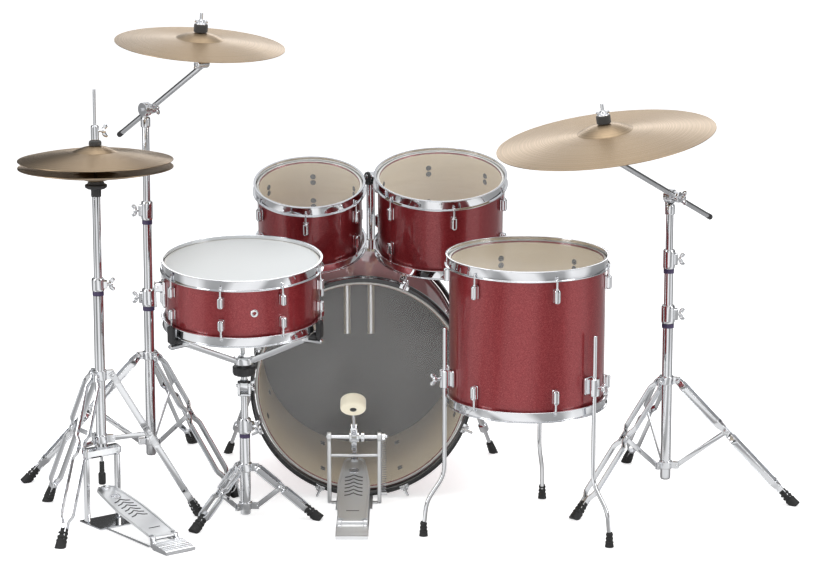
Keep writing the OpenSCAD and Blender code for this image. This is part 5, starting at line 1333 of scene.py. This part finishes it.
out += marked(wing_bolt([kx, -0.012, 0.012], [0, -1, 0], 0.012, 0.024, across=[1, 0, 0]))
piece("kick_pedal_frame", out, [cast], "kick_frame")

lean = math.radians(45)
arm = np.array([0, -math.sin(lean), math.cos(lean)])
face = np.array([0, math.cos(lean), math.sin(lean)])
X = np.array([1.0, 0, 0])
BEATER_REACH, CHAIN_R = 0.150, 0.0325
tip = axle + arm * BEATER_REACH
a = np.linspace(0, 2 * math.pi, 2 * 22 + 1)
sprocket = 0.0310 - 0.0016 * (np.arange(2 * 22 + 1) % 2)
ring = sprocket[:, None] * (np.cos(a)[:, None] * UP + np.sin(a)[:, None] * np.array([0, 1.0, 0]))
rows = np.array([[-0.006, 0], [-0.006, 1], [-0.0035, 1], [-0.0035, 0.86], [0.0035, 0.86], [0.0035, 1],
    [0.006, 1], [0.006, 0]])
G = axle + rows[:, 0, None, None] * X + rows[:, 1, None, None] * ring[None]
out = [(rod(axle - X * 0.067, axle + X * 0.079, 0.005, 24), 0), (G, 1),
    (solid_turned(axle - X * 0.012, X, [[0, 0.0122], [0.001, 0.013], [0.023, 0.013], [0.024, 0.0122]],
        0.0008, 32), 0),
    (solid_turned(axle + X * 0.016, X, [[0, 0.012], [0.008, 0.012]], 0.0008, 32), 0),
    (solid_turned(axle + X * 0.0655, X, [[0, 0.010], [0.009, 0.010]], 0.0008, 32), 0),
    (block(axle + X * 0.070 - np.array([0, 0.012, 0]), [0.0088, 0.0235, 0.0078], 0.002), 0),
    (rod(axle + arm * 0.010, tip - arm * 0.022, 0.0044, 24), 0),
    (block(axle + arm * 0.037, [0.0178, 0.0178, 0.0255], 0.003, np.stack([X, face, arm])), 0),
    (solid_turned(tip - face * 0.015, face,
        [[0, 0.0270], [0.003, 0.0300], [0.026, 0.0300], [0.030, 0.0265]], 0.0025, 48), 2),
    (turned_round(tip - face * 0.0152, -face,
        [[-0.002, 0], [-0.002, 0.0085], [0.0012, 0.0075], [0.0016, 0]], 0.0006, 24), 3)]
piece("kick_beater_and_axle", out, [chrome, satin_chrome, cream_felt, black_plastic], "kick_beater")


def chain(path, wide=0.008):
    """Roller chain: links alternate wide and narrow plates along the path."""
    out = []
    for k in range(len(path) - 1):
        p, q = path[k], path[k + 1]
        off = wide / 2 if k % 2 else wide / 2 - 0.0012
        for s in (-1, 1):
            out.append((strip(p, q, 0.0052, 0.0010, X, s * off, c=0.0004), 0))
        out.append((rod(p - X * wide / 2, p + X * wide / 2, 0.0016, 10), 0))
    return out


up_z = np.linspace(0.101, axle[2], 12)
show("kick_chain_drop", chain(np.stack([np.full(12, kx), np.full(12, axle[1] + CHAIN_R), up_z], 1)),
    [steel], body_of["kick_footboard"], "chrome")
b = np.linspace(0, math.radians(100), 11)
show("kick_chain_on_wheel",
    chain(np.stack([np.full(11, kx), axle[1] + CHAIN_R * np.cos(b), axle[2] + CHAIN_R * np.sin(b)], 1)),
    [steel], body_of["kick_beater"], "chrome")
spring_top = axle + X * 0.070 - np.array([0, 0.018, 0.006])
spring_low = np.array([kx + 0.070, axle[1] - 0.018, 0.034])
spring = show("kick_return_spring", [(helix(spring_low, spring_top, 0.0062, 22, 0.0009, 12), 0)],
    [steel], None, "chrome")
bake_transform(spring)

# spurs: hinge boss, leg with a sleeve, and a rubber tip
for name, node, joint in (("left_spur", "spur_left", "spur_left_fold"),
    ("right_spur", "spur_right", "spur_right_fold")):
    p = np.array(joints[joint]["pos_m"])
    pin = unit(joints[joint]["axis"])
    lo, hi = (np.array(v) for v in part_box(node))
    side = -1 if p[0] < 0 else 1
    foot = np.array([side * 0.341 - 0.330 * math.sin(yaw), 0.430, 0.0])
    d = unit(foot - p)
    G = turned(foot, d,
        [[-0.036, 0], [-0.036, 0.0085], [-0.032, 0.0095], [-0.028, 0.0090], [-0.024, 0.0100],
            [-0.020, 0.0095], [-0.016, 0.0106], [-0.010, 0.0104], [-0.004, 0.011], [0.008, 0.010],
            [0.008, 0]], 32)
    G[..., 2] = np.maximum(G[..., 2], 0.0)
    out = [(solid_turned(p - pin * 0.0074, pin,
        [[0, 0.0172], [0.001, 0.018], [0.015, 0.018], [0.0173, 0.016]], 0.001, 40), 0),
        (rod(p + d * 0.008, p + d * 0.148, 0.008, 28), 0),
        (solid_turned(p + d * 0.132, d, [[0, 0.0112], [0.002, 0.012], [0.018, 0.012], [0.020, 0.0112]],
            0.0008, 32), 0),
        (rod(p + d * 0.140, foot - d * 0.020, 0.005, 24), 0), (G, 1)]
    out += marked(wing_bolt(p + pin * 0.009, pin, 0.0, 0.026, across=d))
    piece(name, out, [chrome, rubber], node)

# the holder on the bass shell stays as the frame gives it
nodes["tom_mount"].material_slots[0].material = chrome


# ---------------------------------------------------------------- floor, light and camera

def ramp(tree, stops):
    """A ramp through grey values at the given places."""
    r = add(tree, "ShaderNodeValToRGB")
    e = r.color_ramp.elements
    e[0].position, e[0].color = stops[0][0], (*[stops[0][1]] * 3, 1)
    e[1].position, e[1].color = stops[-1][0], (*[stops[-1][1]] * 3, 1)
    for place, grey in stops[1:-1]:
        e.new(place).color = (grey, grey, grey, 1)
    return r


def room_group():
    """Brightness of the room by compass angle from the front: atan2(|x|, -y) / pi through a ramp."""
    g, i, o = group("room around the kit", [("Where", "NodeSocketVector", (0, 0, 0))], [("Color", C)])
    sep = add(g, "ShaderNodeSeparateXYZ")
    ax = add(g, "ShaderNodeMath", operation="ABSOLUTE")
    neg = add(g, "ShaderNodeMath", operation="MULTIPLY")
    neg.inputs[1].default_value = -1
    turn = add(g, "ShaderNodeMath", operation="ARCTAN2")
    part = add(g, "ShaderNodeMath", operation="DIVIDE")
    part.inputs[1].default_value = math.pi
    bands = ramp(g,
        [(0.0, 0.95), (0.09, 0.85), (0.15, 0.10), (0.28, 0.05), (0.34, 0.70), (0.45, 0.75),
            (0.52, 0.06), (0.72, 0.04), (0.80, 0.40), (0.90, 0.08), (1.0, 0.06)])
    wire(g, (i, "Where", sep, 0), (sep, "X", ax, 0), (sep, "Y", neg, 0), (ax, 0, turn, 0),
        (neg, 0, turn, 1), (turn, 0, part, 0), (part, 0, bands, "Fac"), (bands, "Color", o, "Color"))
    return g


ROOM = room_group()


def floor_finish():
    """Pale floor; in the chrome it mirrors as the room's bands of light and dark."""
    m = finish("pale floor", (0.80, 0.80, 0.80), 0.0, 0.60, 0.10, 2, Emission_Color=(1, 1, 1, 1),
        Emission_Strength=0.62)
    t = m.node_tree
    plain = t.nodes["Principled BSDF"]
    mirrored, both = add(t, "ShaderNodeBsdfPrincipled"), add(t, "ShaderNodeMixShader")
    mirrored.inputs["Base Color"].default_value = (0.30, 0.30, 0.30, 1)
    mirrored.inputs["Emission Strength"].default_value = 0.75
    bands, seen, co = add(t, "ShaderNodeGroup",
        node_tree=ROOM), add(t, "ShaderNodeLightPath"), add(t, "ShaderNodeTexCoord")
    wire(t, (co, "Object", bands, "Where"), (bands, "Color", mirrored, "Emission Color"),
        (seen, "Is Glossy Ray", both, 0), (plain, 0, both, 1), (mirrored, 0, both, 2),
        (both, 0, t.nodes["Material Output"], "Surface"))
    return m


def plain_floor():
    a = np.linspace(0, 2 * math.pi, 97)
    r = np.array([0.0, 3.0, 12.0, 45.0])
    P = np.stack([r[:, None] * np.cos(a), r[:, None] * np.sin(a), np.full((4, 97), -0.0006)], -1)
    mesh = bpy.data.meshes.new("pale_floor")
    i = np.arange(4 * 97).reshape(4, 97)
    f = np.stack([i[:-1, :-1], i[1:, :-1], i[1:, 1:], i[:-1, 1:]], -1).reshape(-1, 4)
    mesh.from_pydata(P.reshape(-1, 3).tolist(), [], f.tolist())
    mesh.materials.append(floor_finish())
    o = bpy.data.objects.new("pale_floor", mesh)
    bpy.context.scene.collection.objects.link(o)


plain_floor()


def softbox(name, where, aim, size, power, tint=(1, 1, 1)):
    """A rectangular lamp at where that faces aim."""
    light = bpy.data.lights.new(name, "AREA")
    light.shape, light.energy, light.color = "RECTANGLE", power, tint
    light.size, light.size_y = size
    o = bpy.data.objects.new(name, light)
    bpy.context.scene.collection.objects.link(o)
    o.location = where
    back = np.asarray(where, float) - np.asarray(aim, float)
    o.rotation_mode = "QUATERNION"
    o.rotation_quaternion = Vector(back).to_track_quat("Z", "Y")


softbox("top_softbox", (0.2, -0.6, 4.2), (0.1, 0, 0.5), (3.6, 2.6), 60)
softbox("left_softbox", (-4.0, -2.6, 2.2), (0, 0, 0.6), (1.4, 3.0), 52)
softbox("right_softbox", (4.0, -2.2, 2.4), (0, 0, 0.6), (1.4, 3.0), 46)
softbox("back_softbox", (0.5, 4.2, 2.6), (0, 0, 0.6), (3.5, 1.6), 30)


def studio_world():
    """Softbox room overhead and around, and a plain white backdrop where the sky itself is seen."""
    world = bpy.data.worlds.new("studio")
    bpy.context.scene.world = world
    world.use_nodes = True
    t = world.node_tree
    room, white = t.nodes["Background"], add(t, "ShaderNodeBackground")
    co, sep = add(t, "ShaderNodeTexCoord"), add(t, "ShaderNodeSeparateXYZ")
    bands = add(t, "ShaderNodeGroup", node_tree=ROOM)
    over = add(t, "ShaderNodeMapRange", interpolation_type="SMOOTHSTEP")
    over.inputs["From Min"].default_value, over.inputs["From Max"].default_value = 0.35, 0.75
    mix = add(t, "ShaderNodeMix", data_type="RGBA")
    mix.inputs["B"].default_value = (0.80, 0.81, 0.83, 1)
    seen, both = add(t, "ShaderNodeLightPath"), add(t, "ShaderNodeMixShader")
    wire(t, (co, "Generated", sep, 0), (co, "Generated", bands, "Where"), (bands, "Color", mix, "A"),
        (sep, "Z", over, "Value"), (over, 0, mix, "Factor"), (mix, "Result", room, "Color"),
        (seen, "Is Camera Ray", both, 0), (room, 0, both, 1), (white, 0, both, 2),
        (both, 0, t.nodes["World Output"], "Surface"))
    white.inputs["Color"].default_value = (1, 1, 1, 1)


studio_world()
cam = bpy.data.cameras.new("kit_camera")
cam.lens, cam.sensor_width, cam.shift_y = 119.6, 36.0, -0.0457
cam.clip_end = 100
camera = bpy.data.objects.new("kit_camera", cam)
bpy.context.scene.collection.objects.link(camera)
camera.location = (0.115, -6.360, 1.773)
camera.rotation_euler = (math.radians(90 - 10.42), 0, 0)
bpy.context.scene.camera = camera
bpy.context.scene.view_settings.view_transform = "Standard"
